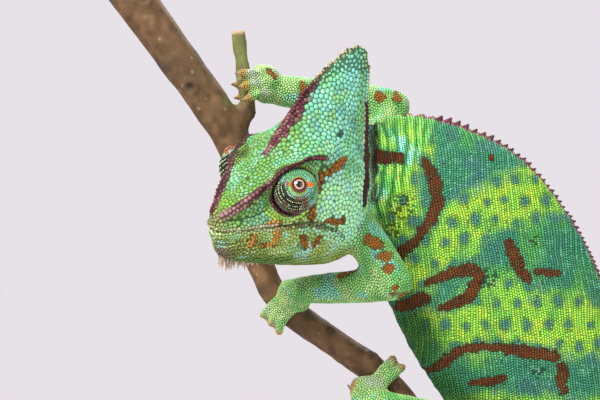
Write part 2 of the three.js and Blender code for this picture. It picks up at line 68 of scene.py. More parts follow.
# --- frames
class Place:
    """The model's own millimetre frame: x right, y away, z up, with the plate's middle at a known spot."""

    PLATE_MIDDLE = (48.0, 33.0)
    PLATE_UNDER = -215.0

    def __init__(self) -> None:
        """Finds the frame's offset from the plate's box."""
        low, high = (np.array(corner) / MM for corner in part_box("stand_base"))
        self.offset = np.array([*(low + high)[:2] / 2, low[2]]) - (*self.PLATE_MIDDLE, self.PLATE_UNDER)

    def to_row(self, points: Array) -> Array:
        """Returns millimetre points as metres of the part's frame."""
        return (np.asarray(points, float) + self.offset) * MM

    def from_row(self, points: Array) -> Array:
        """Returns the part's metres as millimetres of the model's own frame."""
        return np.asarray(points, float) / MM - self.offset

    def box(self, node: str) -> tuple[Array, Array]:
        """Returns the lowest and highest corner of a solid's box."""
        low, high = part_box(node)
        return self.from_row(np.array(low)), self.from_row(np.array(high))


class HeadFrame:
    """The head's frame: x to the snout, y to the animal's left, z up the casque."""

    ORIGIN = (7.4, 21.4, -7.5)
    TURNS = (("Z", 223.6), ("Y", 1.2), ("X", -15.5))

    def __init__(self) -> None:
        """Works out the head's rotation."""
        yaw, pitch, roll = (Matrix.Rotation(math.radians(angle), 3, axis) for axis, angle in self.TURNS)
        self.turn = np.array(yaw @ pitch @ roll)

    def local(self, points: Array, folded: bool = True) -> Array:
        """Returns points of the model's frame in the head's frame, both its sides folded together or not."""
        place = (np.asarray(points, float) - self.ORIGIN) @ self.turn
        return np.stack([place[:, 0], np.abs(place[:, 1]), place[:, 2]], axis=1) if folded else place

    def world(self, points: Array) -> Array:
        """Returns points of the head's frame in the model's frame."""
        return np.asarray(points, float) @ self.turn.T + self.ORIGIN

    def direction(self, vector: Sequence[float]) -> Array:
        """Returns a direction of the head's frame in the model's frame, at unit length."""
        return unit(np.asarray(vector, float) @ self.turn.T)


PLACE = Place()
HEAD = HeadFrame()


# --- numbers
def unit(vectors: Array) -> Array:
    """Returns vectors at unit length."""
    return vectors / np.maximum(np.linalg.norm(vectors, axis=-1, keepdims=True), 1e-12)


def smooth(low: float, high: float, value: Array) -> Array:
    """Returns a smooth step of value from 0 at low to 1 at high."""
    t = np.clip((value - low) / (high - low), 0.0, 1.0)
    return t * t * (3 - 2 * t)


def mix(first: Array | Colour, second: Array | Colour, share: Array) -> Array:
    """Returns a blend of two colours, or lists of colours, by a share for each point."""
    share = np.clip(share, 0.0, 1.0)[:, None]
    return np.asarray(first, float) * (1 - share) + np.asarray(second, float) * share


def layers(ground: Array | Colour, *laid: tuple) -> Array:
    """Lays colours on a ground, one after another.

    Args:
        ground: colours so far.
        laid: for each layer its colour, its share, and maybe the low, high and value of a smooth step of the share.

    Returns:
        The colours with the layers.
    """
    for hue, share, *step in laid:
        ground = mix(ground, hue, share * smooth(*step) if step else share)
    return ground


def bell(value: Array, centre: float, width: float) -> Array:
    """Returns 1 where value is at centre and less with every width away from it."""
    return np.exp(-(((value - centre) / width) ** 2))


def away(points: Array, spot: Sequence[float]) -> Array:
    """Returns each point's distance from a spot."""
    return np.linalg.norm(points - np.asarray(spot), axis=-1)


def travelled(line: Array) -> Array:
    """Returns how far along a line each of its points is."""
    return np.concatenate([[0.0], np.cumsum(np.linalg.norm(np.diff(line, axis=0), axis=1))])


def along_line(line: Array, at: Array | float) -> Array:
    """Returns points of a line at distances from its start."""
    starts = travelled(line)
    return np.stack([np.interp(at, starts, line[:, k]) for k in range(line.shape[1])], axis=-1)


def noise(points: Array, size: float, seed: int = 0) -> Array:
    """Gives smooth noise in space.

    Args:
        points: the places.
        size: distance between knots.
        seed: which noise it is.

    Returns:
        A number from 0 to 1 for each point.
    """
    cell = points / size + 31.7 * seed
    corner = np.floor(cell).astype(np.int64)
    share = cell - corner
    share = share * share * (3 - 2 * share)
    total = np.zeros(len(points))
    for step in itertools.product((0, 1), repeat=3):
        key = corner + step
        mixed = (key[:, 0] * 73856093) ^ (key[:, 1] * 19349663) ^ (key[:, 2] * 83492791)
        mixed = ((mixed ^ (mixed >> 13)) * 1274126177) & 0x7FFFFFFF
        weight = np.prod(np.where(np.array(step) == 1, share, 1 - share), axis=1)
        total += weight * ((mixed >> 7) & 0xFFFF) / 0xFFFF
    return total


def flow(*points: Sequence[float], count: int = 24) -> Array:
    """Returns a smooth line of count points through a few knots."""
    knots = np.array(points, float)
    padded = np.vstack([2 * knots[0] - knots[1], knots, 2 * knots[-1] - knots[-2]])
    spans = len(knots) - 1
    line = []
    for place in np.linspace(0, spans, count):
        i = min(int(place), spans - 1)
        t = place - i
        a, b, c, d = padded[i : i + 4]
        curve = 2 * b + (c - a) * t + (2 * a - 5 * b + 4 * c - d) * t**2 + (3 * b - a - 3 * c + d) * t**3
        line.append(0.5 * curve)
    return np.array(line)


def reach(points: Array, line: Array) -> tuple[Array, Array]:
    """Measures points against a line.

    Args:
        points: places, with as many axes as the line has.
        line: the line's points in order.

    Returns:
        Each point's distance from the line, and how far along the line it is, from 0 to 1.
    """
    best, along = np.full(len(points), np.inf), np.zeros(len(points))
    starts = travelled(line)
    for i, (a, b) in enumerate(zip(line[:-1], line[1:])):
        span = b - a
        t = np.clip(((points - a) @ span) / max(float(span @ span), 1e-12), 0.0, 1.0)
        gap = np.linalg.norm(points - a - t[:, None] * span, axis=1)
        along = np.where(gap < best, (starts[i] + t * (starts[i + 1] - starts[i])) / starts[-1], along)
        best = np.minimum(best, gap)
    return best, along


# --- regions of the animal
class Region(Enum):
    """The kinds of skin on the animal, in the order of their weights."""

    HEAD, JAW, NECK, TRUNK, ARM, HAND, LEG, FOOT, TAIL = range(9)


# For each Region, how freely smoothing moves it, the distance between its scales, and their height.
TRAITS = np.array([
    (0.05, 1.72, 0.17), (0.07, 1.25, 0.2), (0.7, 0.88, 0.24), (1.0, 0.92, 0.24), (0.22, 1.0, 0.22), (0.03, 0.85, 0.2),
    (0.22, 1.05, 0.22), (0.03, 0.9, 0.2), (0.16, 1.0, 0.22),
])


FLESH: dict[str, Region] = {
    "head": Region.HEAD,
    "lower_jaw": Region.JAW,
    "neck": Region.NECK,
    "chest": Region.TRUNK,
    "belly": Region.TRUNK,
}
for limb in (
    {"upper_arm": Region.ARM, "forearm": Region.ARM, "hand": Region.HAND},
    {"thigh": Region.LEG, "shank": Region.LEG, "foot": Region.FOOT},
):
    FLESH |= {f"{name}_{side}": region for side in ("left", "right") for name, region in limb.items()}
FLESH |= {f"tail_{name}": Region.TAIL for name in ("base", "middle", "tip")}
NODES = list(FLESH)

# Lines of the face in the head's frame, for the left side; the right side mirrors them.
MOUTH = flow(
    (3.6, 13.5, -0.6), (6, 13.7, 1.0), (10.4, 13.7, 2.5), (15.8, 13.5, 4.0), (21, 12.9, 4.3), (27.3, 11.2, 3.2),
    (34.3, 9.5, 1.9), (40, 6.9, 0.5), (45.4, 3.9, -0.5), (47.8, 0, -0.9), count=44,
)
CANTHAL = flow(
    (46.8, 2.4, 4.2), (43.4, 5.4, 8.3), (38.1, 9.1, 14.8), (33.2, 12, 20.8), (30.1, 13.4, 23.7), (27, 14.5, 25.2),
    (24, 14.9, 25.7), (21.4, 14.8, 25.7), (17, 14.5, 25.3), count=40,
)
PARIETAL = flow(
    (30.6, 0, 23.6), (29.5, 0, 25.4), (25, 0, 34), (20.5, 0, 41.8), (15, 0, 48.4), (9, 0, 53.6), (2, 0, 58.3),
    (-3, 0, 59.4), (-6, 0, 57.5), (-8.2, 0, 53), count=44,
)
CASQUE_REAR = flow(
    (-8.2, 0.4, 52), (-8.6, 1.4, 47.5), (-7.6, 2.9, 42), (-7.9, 3.6, 38), (-7.6, 4.9, 34), (-6.6, 6.8, 29),
    (-6, 8.6, 25), (-5, 10.6, 20.6), (-5.4, 11.4, 15.8), (-6.2, 11.6, 9), count=36,
)
CREASES = (
    flow((45.4, 3.4, 3.2), (43.4, 5.6, 3.8), (40.6, 7.4, 4.8), (37, 9.0, 6.4), (34.6, 9.9, 8.4), count=20),
    flow((20.0, 14.0, 24.2), (17.6, 14.2, 22.6), (14.4, 14.0, 21.4), count=10),
    flow((19.4, 13.8, 22.6), (17.4, 13.9, 20.6), (15.6, 13.9, 18.6), count=10),
    flow((18.4, 13.4, 4.8), (21.2, 12.8, 6.4), (25, 12.2, 6.6), (29, 11.2, 7.2), count=12),
)
ORBIT_CENTRE = np.array([27.5, 12.9, 14.8])
ORBIT_AXIS = np.array([0.35, 0.93, 0.1])
NOSTRIL = np.array([40.1, 6.9, 9.6])


@dataclass(frozen=True)
class Row:
    """Scales in rows along a line of the face, the same on both sides. A ghost row only keeps its place free."""

    line: Array
    offsets: tuple[float, ...]
    step: float
    size: float
    height: float = 0.26
    peak: float = 0.0
    ghost: bool = False
    taper: tuple[float, ...] = (1.0, 1.0)

    def width(self, along: Array | float) -> Array | float:
        """Returns how wide the rows stand apart at a share of the line's length."""
        return np.interp(along, np.linspace(0, 1, len(self.taper)), self.taper)


def circle(radius: float) -> Array:
    """Returns a circle round the left eye, from the front upwards."""
    axis = unit(ORBIT_AXIS)
    front = unit(np.array([1.0, 0.0, 0.0]) - axis[0] * axis)
    up = np.cross(front, axis) * (1 if np.cross(front, axis)[2] > 0 else -1)
    turn = np.linspace(0, 2 * np.pi, 40)[:, None]
    return ORBIT_CENTRE + radius * (np.cos(turn) * front + np.sin(turn) * up)


ROWS = (
    Row(MOUTH, (0.0,), 0.6, 0.55, ghost=True),
    Row(MOUTH, (-0.8,), 1.15, 1.2, 0.3, taper=(0.8, 1.0)),
    Row(MOUTH, (0.8,), 1.1, 1.15, 0.26, taper=(0.8, 1.0)),
    Row(MOUTH, (-1.85, 1.9), 1.25, 1.2, 0.24),
    Row(CANTHAL, (0.0,), 1.4, 1.5, 0.5, 0.4),
    Row(CANTHAL, (-1.35, 1.35), 1.2, 1.2, 0.4, 0.3, taper=(0.8, 1.15, 1.15, 0.85, 0.6, 0.45)),
    Row(PARIETAL, (-0.5, 0.5, -1.5, 1.5, -2.5, 2.5), 1.15, 1.1, 0.26, 0.15, taper=(0.5, 1.0, 1.1, 1.0, 0.8, 0.7, 0.8)),
    Row(CASQUE_REAR, (0.0, -1.15), 1.2, 1.15, 0.42, 0.3),
    Row(circle(8.05), (0.0,), 0.85, 0.85, 0.3),
    Row(circle(8.9), (0.0,), 0.9, 0.9, 0.24),
)


# --- colours
class Hue:
    """The animal's colours, as linear red, green and blue."""

    LIME = (0.235, 0.56, 0.06)
    YELLOW = (0.39, 0.6, 0.05)
    GREEN = (0.075, 0.32, 0.075)
    MOSS = (0.03, 0.14, 0.035)
    TEAL = (0.04, 0.22, 0.12)
    BLUE_GREY = (0.055, 0.19, 0.16)
    RUST = (0.13, 0.04, 0.008)
    UMBER = (0.05, 0.02, 0.007)
    MAROON = (0.095, 0.025, 0.033)
    PLUM = (0.055, 0.02, 0.024)
    MAUVE = (0.30, 0.165, 0.155)
    CREAM = (0.50, 0.44, 0.27)
    MINT = (0.16, 0.47, 0.24)
    PALE_MINT = (0.42, 0.82, 0.46)
    SEA = (0.18, 0.5, 0.41)
    SKY = (0.31, 0.62, 0.56)
    LEAF = (0.14, 0.34, 0.08)
    ORANGE = (0.25, 0.095, 0.014)
    PEACH = (0.46, 0.23, 0.04)
    JAW = (0.26, 0.35, 0.08)
    THROAT = (0.13, 0.19, 0.03)
    OLIVE = (0.07, 0.09, 0.012)
    LIP = (0.56, 0.40, 0.30)
    LIMB = (0.2, 0.46, 0.13)
    PALE_LIMB = (0.34, 0.5, 0.19)
    LAVENDER = (0.42, 0.42, 0.42)
    NIGHT = (0.012, 0.014, 0.008)


@dataclass(frozen=True)
class Mark:
    """A bar or blot of colour along a line, with a half width that may change along it."""

    half: float
    line: tuple[tuple[float, ...], ...]
    taper: tuple[float, ...] = (1.0, 1.0)
    hue: Colour = Hue.RUST

    def edge(self, points: Array) -> Array:
        """Returns how far each point is outside the mark, below 0 inside; points have the line's axes."""
        if len(self.line) == 1:
            return away(points, self.line[0]) - self.half
        line = np.array(self.line, float) if len(self.line) == 2 else flow(*self.line, count=5 * len(self.line))
        gap, along = reach(points, line)
        return gap - self.half * np.interp(along, np.linspace(0, 1, len(self.taper)), self.taper)


COLUMN = 0.88  # mm between the upright columns of scales on neck and trunk


def columns(points: Array) -> Array:
    """Returns each point's place across the columns of scales on neck and trunk, in millimetres."""
    return points[:, 0] + 0.12 * points[:, 2] + 1.8 * noise(points, 12.0, 71) + 0.5 * noise(points, 4.0, 76)


def wrinkles(points: Array) -> Array:
    """Returns the fine upright wrinkles of neck and trunk, from -1 in a groove to 1 on a fold."""
    return np.cos(np.pi * columns(points) / COLUMN) * (1.8 * noise(points, 4.0, 70) - 0.2)


def neck_folds(points: Array) -> Array:
    """Returns the loose upright folds of the neck, from -1 to 1."""
    warp = 3.4 * noise(points, 9.0, 73) + 1.0 * noise(points, 3.6, 74)
    return np.sin(2 * np.pi * (points[:, 0] - 0.05 * points[:, 2] + warp) / 3.3)


@dataclass
class Markings:
    """Where each colour lies on the animal. Skin and scales both ask here."""

    # Bars on the flanks, in x and z, the same on both sides.
    FLANK = (
        Mark(1.75, ((40.5, 13), (43.5, 7), (44.5, 0), (42, -7), (37.5, -13), (32.5, -18)),
             (0.75, 1.35, 1.1, 0.95, 1.1)),
        Mark(1.75, ((41.5, -27.5), (48, -24), (55, -22.5), (57.5, -25), (55, -30.5), (50, -34), (46, -35)),
             (0.8, 1.0, 1.25, 1.2, 1.1, 0.8)),
        Mark(1.9, ((67.5, -13.5), (69.5, -18.5), (73, -25)), (0.8, 1.1, 1.1)),
        Mark(1.5, ((77, -23.4), (83.5, -23.8)), (1.1, 0.8)),
        Mark(1.7, ((41, -57), (46, -54), (52, -49), (59, -47.6), (67, -48.2), (76, -49.6), (82.5, -50.6)),
             (0.7, 1.0, 0.9, 0.95, 1.2, 1.1)),
        Mark(1.8, ((84.5, -54), (84.8, -61.5)), (1.1, 0.9)),
        Mark(1.5, ((55, -59.6), (61, -59), (66.5, -57.6)), (0.7, 1.1, 0.9)),
        Mark(2.2, ((33, -35), (40, -32))),
        Mark(1.0, ((62.6, 14),)),
        Mark(1.8, ((50, -74), (57, -76), (66, -75.5), (74, -77))),
        Mark(1.7, ((86, -76), (88, -84), (86, -90))),
        Mark(1.6, ((66, -90), (73, -92), (79, -98))),
        Mark(1.4, ((90, -104), (93, -112))),
    )
    NECK = (Mark(2.1, ((25, 14), (32.5, 13.6)), (1.1, 0.8)),)
    # Marks on the head and jaw, in the head's frame with both sides folded together.
    FACE = (
        Mark(1.75, ((15.8, 13.8, 20.6), (12.6, 13.9, 22.6), (9.4, 13.8, 24.6)), (0.8, 1.2, 0.9), Hue.ORANGE),
        Mark(1.2, ((17.6, 13.5, 19.6), (17.3, 13.3, 16.4), (17.5, 13.1, 12.8)), (1.2, 0.9, 0.7), Hue.ORANGE),
        Mark(1.1, ((19.2, 13, 9.6), (18.6, 13.2, 7), (19.4, 13.1, 5.2)), (1.0, 1.1, 1.5), Hue.ORANGE),
        Mark(1.1, ((12.6, 13.7, 5.2), (8.8, 13.9, 4.7), (4.3, 13.8, 5.0)), (0.7, 1.3, 0.8), Hue.ORANGE),
        Mark(1.05, ((36.8, 8.4, 1.0), (36.9, 8.1, -1.2), (36.8, 7.4, -3.6), (36.6, 7, -4.6)),
             (1.0, 1.0, 1.3, 1.2), Hue.PEACH),
        Mark(1.1, ((30.4, 10.6, 1.6), (29.6, 10.5, -1.0), (29.8, 9.9, -3.0), (32.6, 8.9, -4.2), (34, 8.2, -4.4)),
             (1.3, 1.1, 1.1, 0.8, 0.8), Hue.PEACH),
        Mark(1.0, ((34, 10, 3.4), (30.6, 10.8, 3.9)), (0.7, 1.2), Hue.PEACH),
        Mark(1.35, ((20.9, 12.9, -0.4), (19.6, 12.8, -2.2), (18.4, 12.5, -3.8)), (0.8, 1.2, 0.8), Hue.ORANGE),
        Mark(1.3, ((14.4, 13.5, -0.9), (15.4, 13.3, -2.9)), (1.0, 0.9), Hue.ORANGE),
    )
    # Blots on the limbs, in space.
    LIMBS = (
        Mark(2.2, ((22, 13.5, -12.6), (25, 12.6, -13.8)), hue=Hue.ORANGE),
        Mark(1.9, ((28.3, 9.4, -21.6),), hue=Hue.ORANGE),
        Mark(1.3, ((29.8, 7.7, -27.8),), hue=Hue.ORANGE),
        Mark(2.0, ((27.2, 51.5, 35.4),), hue=Hue.ORANGE),
        Mark(1.7, ((33.1, 52.7, 34.8),), hue=Hue.ORANGE),
        Mark(1.5, ((-10, 43.8, 43.4), (-8.4, 43.6, 42.4)), hue=Hue.ORANGE),
    )
    # Pale bands across the flank: half width, then a line in x and z.
    BANDS = (
        (9.5, ((84, 9), (74, 3.5), (64, -1), (55, -7), (46, -15), (37, -25))),
        (10.5, ((101, -43), (84, -41), (65, -38), (52, -40), (37, -44))),
        (6.0, ((31, 29), (34, 22), (38, 16))),
        (6.5, ((30, 10), (33, 2), (34, -8))),
        (8.5, ((103, -72), (86, -73), (70, -71), (52, -70))),
        (8.0, ((104, -98), (90, -98), (72, -97))),
        (6.5, ((100, -120), (80, -120))),
    )
    # Painted shade along the belly's dark lower edge, in x and z.
    PAINTED_BELLY_SHADE = flow((30, -33), (40, -50), (50, -66), (60, -84), (72, -102))
    # Half width of the maroon band on the casque's front edge, over the height in the head's frame.
    PARIETAL_BAND = ((22, 26, 31, 37, 42, 47, 51, 56, 60), (0.8, 1.9, 3.3, 3.9, 3.4, 2.5, 1.5, 1.0, 0.9))
    tail_line: Array
    claw_roots: Array
    spot_pitch: float = 6.7
    spot_radius: float = 1.6

    def colour(self, points: Array, weights: Array) -> Array:
        """Colours points of the skin.

        Args:
            points: places in millimetres of the model's frame.
            weights: how far each point belongs to each Region.

        Returns:
            Linear colours, one row for each point.
        """
        limbs = (self._limb, self._foot) * 2
        colours = np.zeros((len(points), 3))
        for weight, paint in zip(weights.T, (self._head, self._jaw, self._neck, self._flank, *limbs, self._tail)):
            inside = weight > 0.004
            if inside.any():
                colours[inside] += weight[inside, None] * paint(points[inside])
        return np.clip(colours, 0.004, 0.95)

    def _spots(self, plane: Array) -> Array:
        """Returns how far each point of the flank, in x and z, is inside its nearest soft spot, in radii."""
        x, z = plane.T
        best = np.full(len(plane), np.inf)
        for down, across in itertools.product((-1, 0, 1), repeat=2):
            level = np.round(z / self.spot_pitch) + down
            shift = 0.5 * (level % 2)
            column = np.round(x / self.spot_pitch - shift) + across
            key = np.stack([column, level, column - level], axis=1) + 0.5
            right = x - (column + shift + 0.5 * (noise(key, 1.0, 3) - 0.5)) * self.spot_pitch
            up = 0.82 * (z - (level + 0.5 * (noise(key, 1.0, 4) - 0.5)) * self.spot_pitch)
            best = np.minimum(best, np.hypot(right, up) / (self.spot_radius * (0.75 + 0.5 * noise(key, 1.0, 5))))
        return best

    def _flank(self, points: Array) -> Array:
        """Returns the trunk's colours: pale bands on green and teal, with spots and dark bars, and painted shade."""
        plane = points[:, [0, 2]]
        wide, fine, tiny = noise(points, 9.0, 1), noise(points, 3.2, 2), noise(points, 1.1, 7)
        ragged = 0.7 * (wide - 0.5) + 0.5 * (fine - 0.5) + 0.35 * (tiny - 0.5)
        edge = np.min([reach(plane, flow(*line, count=14))[0] / half for half, line in self.BANDS], axis=0)
        pale = smooth(1.3, 0.62, edge + ragged)
        deep = layers(
            Hue.GREEN, (Hue.TEAL, 1, 0.25, 0.6, wide), (Hue.BLUE_GREY, 0.9, 0.58, 0.78, noise(points, 4.6, 6)),
            (Hue.MINT, 0.4, 0.55, 0.8, tiny),
        )
        light = layers(
            Hue.LIME, (Hue.YELLOW, 1, 0.3, 0.75, 0.6 * fine + 0.4 * tiny),
            (Hue.GREEN, 0.6, 0.55, 0.8, noise(points, 5.0, 8)),
        )
        spot = self._spots(plane) + 0.5 * (tiny - 0.5)
        share = 0.35 + 0.65 * smooth(0.2, 0.6, pale)
        # Painted shade: the belly's lower edge is darkened with moss green.
        belly_shade = reach(plane, self.PAINTED_BELLY_SHADE)[0] + 3 * (wide - 0.5)
        ground = layers(
            deep, (light, pale), (Hue.MOSS, 0.5 * share, 1.45, 0.95, spot),
            (Hue.BLUE_GREY, 0.9 * share, 1.05, 0.5, spot), (Hue.MOSS, 0.9, 12.0, 3.5, belly_shade),
        )
        # Painted light and shade: the wrinkles' folds are lighter and their grooves darker.
        return self._bars(ground * (1 + 0.10 * wrinkles(points))[:, None], points, self.FLANK)

    @staticmethod
    def _stain(ground: Array, edges: Callable[[Mark], Array], marks: Iterable[Mark]) -> Array:
        """Returns a ground with dark-bordered marks, where edges tells how far each point is outside one."""
        for mark in marks:
            edge = edges(mark)
            ground = mix(ground, mix(Hue.UMBER, mark.hue, smooth(0.1, -0.4, edge)), smooth(0.3, -0.1, edge))
        return ground

    @staticmethod
    def _bars(ground: Array, points: Array, marks: Iterable[Mark]) -> Array:
        """Returns a ground at points of the trunk or neck with dark bars that have a teal border."""
        edge = np.min([mark.edge(points[:, [0, 2]]) for mark in marks], axis=0)
        edge = edge + 1.1 * (noise(points, 2.0, 11) - 0.5) + 1.0 * (noise(points, 0.8, 12) - 0.5)
        rust = layers(Hue.RUST, (Hue.UMBER, 0.525, 0.35, 0.7, noise(points, 2.6, 14)))
        core = np.minimum(mix(Hue.UMBER, Hue.RUST, smooth(-0.05, -1.0, edge)), rust)
        return layers(ground, (Hue.TEAL, 0.6, 2.0, 0.2, edge), (core, 1, 0.22, -0.22, edge))

    def _neck(self, points: Array) -> Array:
        """Returns the neck's colours: painted light on the folds, painted shade in the grooves, and the stripe behind
        the casque.
        """
        x, _, z = points.T
        fold, fine = neck_folds(points), noise(points, 1.6, 15)
        ground = layers(
            Hue.GREEN, (Hue.LIME, 1, 0.2, 0.8, noise(points, 6.0, 16)),
            (Hue.TEAL, 0.8, 0.45, 0.75, noise(points, 7.5, 17)), (Hue.SEA, 0.7, 0.52, 0.74, noise(points, 3.6, 18)),
            # Painted highlight: yellow on the folds' crests; painted shade: moss in the grooves.
            (Hue.YELLOW, 0.5 * smooth(0.2, 0.9, fold), 0.4, 0.7, fine),
            (Hue.MOSS, 0.85, 0.1, -0.75, fold + 0.5 * (fine - 0.5)),
        )
        # Painted light and shade: the colour is raised more on the folds than in the grooves.
        ground = layers(ground * (2.1 + 0.3 * fold)[:, None], (mix(Hue.LIME, Hue.GREEN, fine), 0.8, 20, 27, z))
        stripe = smooth(25.6, 24.4, x + 1.4 * (fine - 0.5)) * smooth(28.5, 26.5, z)
        return layers(self._bars(ground, points, self.FLANK[:1] + self.NECK), ((0.03, 0.011, 0.012), stripe, -3, 0, z))

    @staticmethod
    def _ragged(points: Array) -> Array:
        """Returns how uneven the edges of the face's marks are."""
        return 0.8 * (noise(points, 1.6, 25) - 0.5) + 0.5 * (noise(points, 1.2, 27) - 0.5)

    def _head(self, points: Array) -> Array:
        """Returns the head's colours."""
        local = HEAD.local(points)
        x, _, z = local.T
        fine, tiny, ragged = noise(points, 2.6, 22), noise(points, 1.2, 27), self._ragged(points)
        orbit, rear = away(local, ORBIT_CENTRE), reach(local, CASQUE_REAR)[0]
        height = z - 14.8 + 0.35 * (x - 27.5)
        lower = smooth(4.5, -1.0, height)
        ground = layers(
            self._face_ground(points, local),
            (Hue.LEAF, 0.6 * smooth(2.6, 1.2, np.abs(rear - 3.6)), 30, 36, z),
            (Hue.YELLOW, 0.75 * smooth(1.9, 0.8, np.abs(orbit - 10.0)), -3.0, -6.0, height),
            (layers(Hue.MAROON, (Hue.MAUVE, 0.45, 0.55, 0.85, tiny)), lower, 9.0, 8.3, orbit),
            (layers(Hue.OLIVE, (Hue.YELLOW, 0.5, 0.4, 0.7, fine)), 0.75 * (1 - lower), 9.4, 8.6, orbit),
        )
        ground = layers(
            self._stain(ground, lambda mark: mark.edge(local) + 0.8 * ragged, self.FACE),
            (Hue.MAROON, 0.85, 1.5, 0.7, away(local, NOSTRIL)),
            (mix(Hue.OLIVE, Hue.MAUVE, fine), 0.6 * smooth(44.0, 47.5, x), -2, 3, z),
        )
        crest, along = reach(local, CANTHAL)
        half = 2.35 * np.interp(along, (0, 0.1, 0.35, 0.6, 0.8, 0.9, 1.0), (0.45, 0.9, 1.0, 0.66, 0.48, 0.4, 0.1))
        side = layers(Hue.MAROON, (Hue.MAUVE, 0.85 * smooth(0.75, 0.1, along), 0.25, 0.6, fine))
        cream = 0.75 * np.array(Hue.CREAM)
        top = layers(Hue.MAROON, (Hue.MAUVE, 0.55, 0.45, 0.75, tiny), (cream, 1, 44, 50, z + 3 * (fine - 0.5)))
        ridge = reach(local, PARIETAL)[0] - np.interp(z, *self.PARIETAL_BAND)
        pale = smooth(0.9, 0.4, np.abs(rear - 2.6)) * smooth(41, 38, z) * smooth(12, 24, z)
        behind = x < np.interp(z, CASQUE_REAR[::-1, 2], CASQUE_REAR[::-1, 0])
        dark = np.where(behind, 0.6 * rear, rear) + 0.4 * ragged
        return layers(
            self._lips(ground, local, tiny, Hue.LIP), (side, 1, 0.3, -0.3, crest - half + 0.5 * ragged),
            (top, 1, 0.35, -0.35, ridge + 1.2 * ragged), (Hue.CREAM, 0.85 * smooth(1.3, 0.8, rear), 40.5, 42.5, z),
            (Hue.CREAM, 0.5 * pale, 0.3, 0.6, tiny),
            (Hue.PLUM, smooth(2.3, 1.7, dark) * smooth(42.5, 40.5, z), 7, 9, z),
        )

    @staticmethod
    def _face_ground(points: Array, local: Array) -> Array:
        """Returns the head's green and blue ground, with painted light on the casque's top, at points and at the same
        points in the head's frame.
        """
        x, _, z = local.T
        wide, fine = noise(points, 7.0, 21), noise(points, 2.6, 22)
        front, rear = smooth(19, 31, x + 0.35 * z - 5), smooth(24, 12, x)
        sea = smooth(0.46, 0.66, 0.6 * wide + 0.4 * noise(points, 3.4, 23))
        slate = smooth(0.58, 0.74, noise(points, 3.8, 28))
        ground = layers(
            Hue.MINT, (Hue.LEAF, 1, 0.35, 0.75, wide),
            (Hue.PALE_MINT, 0.7 * smooth(24, 14, z) * smooth(22, 14, x) + 0.25 * smooth(0.6, 0.85, fine)),
            (0.75 * mix(Hue.LEAF, Hue.MINT, smooth(0.35, 0.85, fine)), front),
            (0.65 * mix(Hue.LIME, Hue.THROAT, fine), 1, 34, 46, x), (Hue.SEA, 0.75 * sea * rear, 20, 32, z),
            ((0.10, 0.30, 0.27), 0.6 * slate * rear, 21, 29, z),
            (Hue.SEA, 0.65, 11.0, 5.5, away(local, (-3.5, 1.5, 49)) + 3.5 * (wide - 0.5)),
        )
        sky = (0.7 - 0.45 * front) * smooth(30, 20, z) * smooth(44, 36, x)
        # Painted light: the casque's top is lightened, where it turns away from the key lamp.
        ground = ground * (1 + 0.25 * smooth(36, 48, z))[:, None]
        return layers(ground, (Hue.SKY, sky, 0.54, 0.72, noise(points, 3.0, 24)))

    @staticmethod
    def _lips(ground: Array, local: Array, tiny: Array, hue: Colour) -> Array:
        """Returns a ground with the mouth's dark line and its lips, of a hue in front and with rusty dashes behind."""
        mouth, along = reach(local, MOUTH)
        near, front = 0.8 * smooth(1.5, 1.2, mouth), smooth(0.42, 0.62, along)
        dashes = mix(Hue.RUST, Hue.PALE_LIMB, smooth(0.42, 0.6, tiny))
        return layers(
            ground, (hue, near * front), (dashes, near * (1 - front), 0.12, 0.25, along),
            (Hue.UMBER, 0.9, 0.2, -0.1, mouth - 0.45 - 0.4 * smooth(0.5, 0.25, along)),
        )

    def _jaw(self, points: Array) -> Array:
        """Returns the colours of lower jaw and throat."""
        local = HEAD.local(points)
        x, _, z = local.T
        fine, tiny, ragged = noise(points, 2.4, 31), noise(points, 1.2, 27), self._ragged(points)
        rows = np.sin(2 * np.pi * (z + 0.30 * x + 0.8 * fine) / 1.7)
        throat = smooth(-5.5, -8.5, z + 0.1 * (x - 20))
        ground = layers(
            Hue.JAW, (Hue.PALE_LIMB, 1, 0.4, 0.8, fine), (Hue.MINT, 0.5, 0.5, 0.75, noise(points, 4.2, 34)),
            (Hue.SKY, 0.7, 0.66, 0.78, noise(points, 3.2, 32)),
            (Hue.OLIVE, 0.85 * smooth(24, 34, x) * smooth(-0.5, -4.0, z), -0.4, 0.6, rows),
            (mix(Hue.THROAT, Hue.MOSS, smooth(-0.5, 0.6, rows)), throat, 12, 24, x),
            (mix(Hue.JAW, Hue.THROAT, fine), 0.9 * throat, 20, 10, x), (Hue.THROAT, 0.7, -9, -12, z),
        )
        ground = self._stain(ground, lambda mark: mark.edge(local) + 0.8 * ragged, self.FACE)
        tip = mix(Hue.MAROON, Hue.MAUVE, fine)
        return layers(self._lips(ground, local, tiny, Hue.PALE_LIMB), (tip, 0.75 * smooth(37, 43, x), -5, -8, z))

    def _blots(self, ground: Array, points: Array, marks: Iterable[Mark]) -> Array:
        """Lays the limbs' blots on a ground."""
        ragged = 1.3 * (noise(points, 1.5, 43) - 0.5) + 0.5 * (noise(points, 0.7, 46) - 0.5)
        return self._stain(ground, lambda mark: mark.edge(points) + ragged, marks)

    def _limb(self, points: Array) -> Array:
        """Returns the colours of arms and legs."""
        fine, tiny = noise(points, 3.0, 41), noise(points, 1.1, 45)
        spread = noise(points, 6.4, 44) + 0.12 * (tiny - 0.5)
        ground = layers(
            Hue.LIMB, (Hue.PALE_LIMB, 1, 0.35, 0.75, 0.6 * fine + 0.4 * tiny),
            (Hue.GREEN, 0.7, 0.5, 0.75, noise(points, 4.2, 47)), (Hue.SEA, 0.7, 0.6, 0.76, noise(points, 3.6, 42)),
            (Hue.UMBER, 0.6, 0.775, 0.80, spread), (Hue.ORANGE, 0.95, 0.80, 0.84, spread),
        )
        return self._blots(ground, points, self.LIMBS)

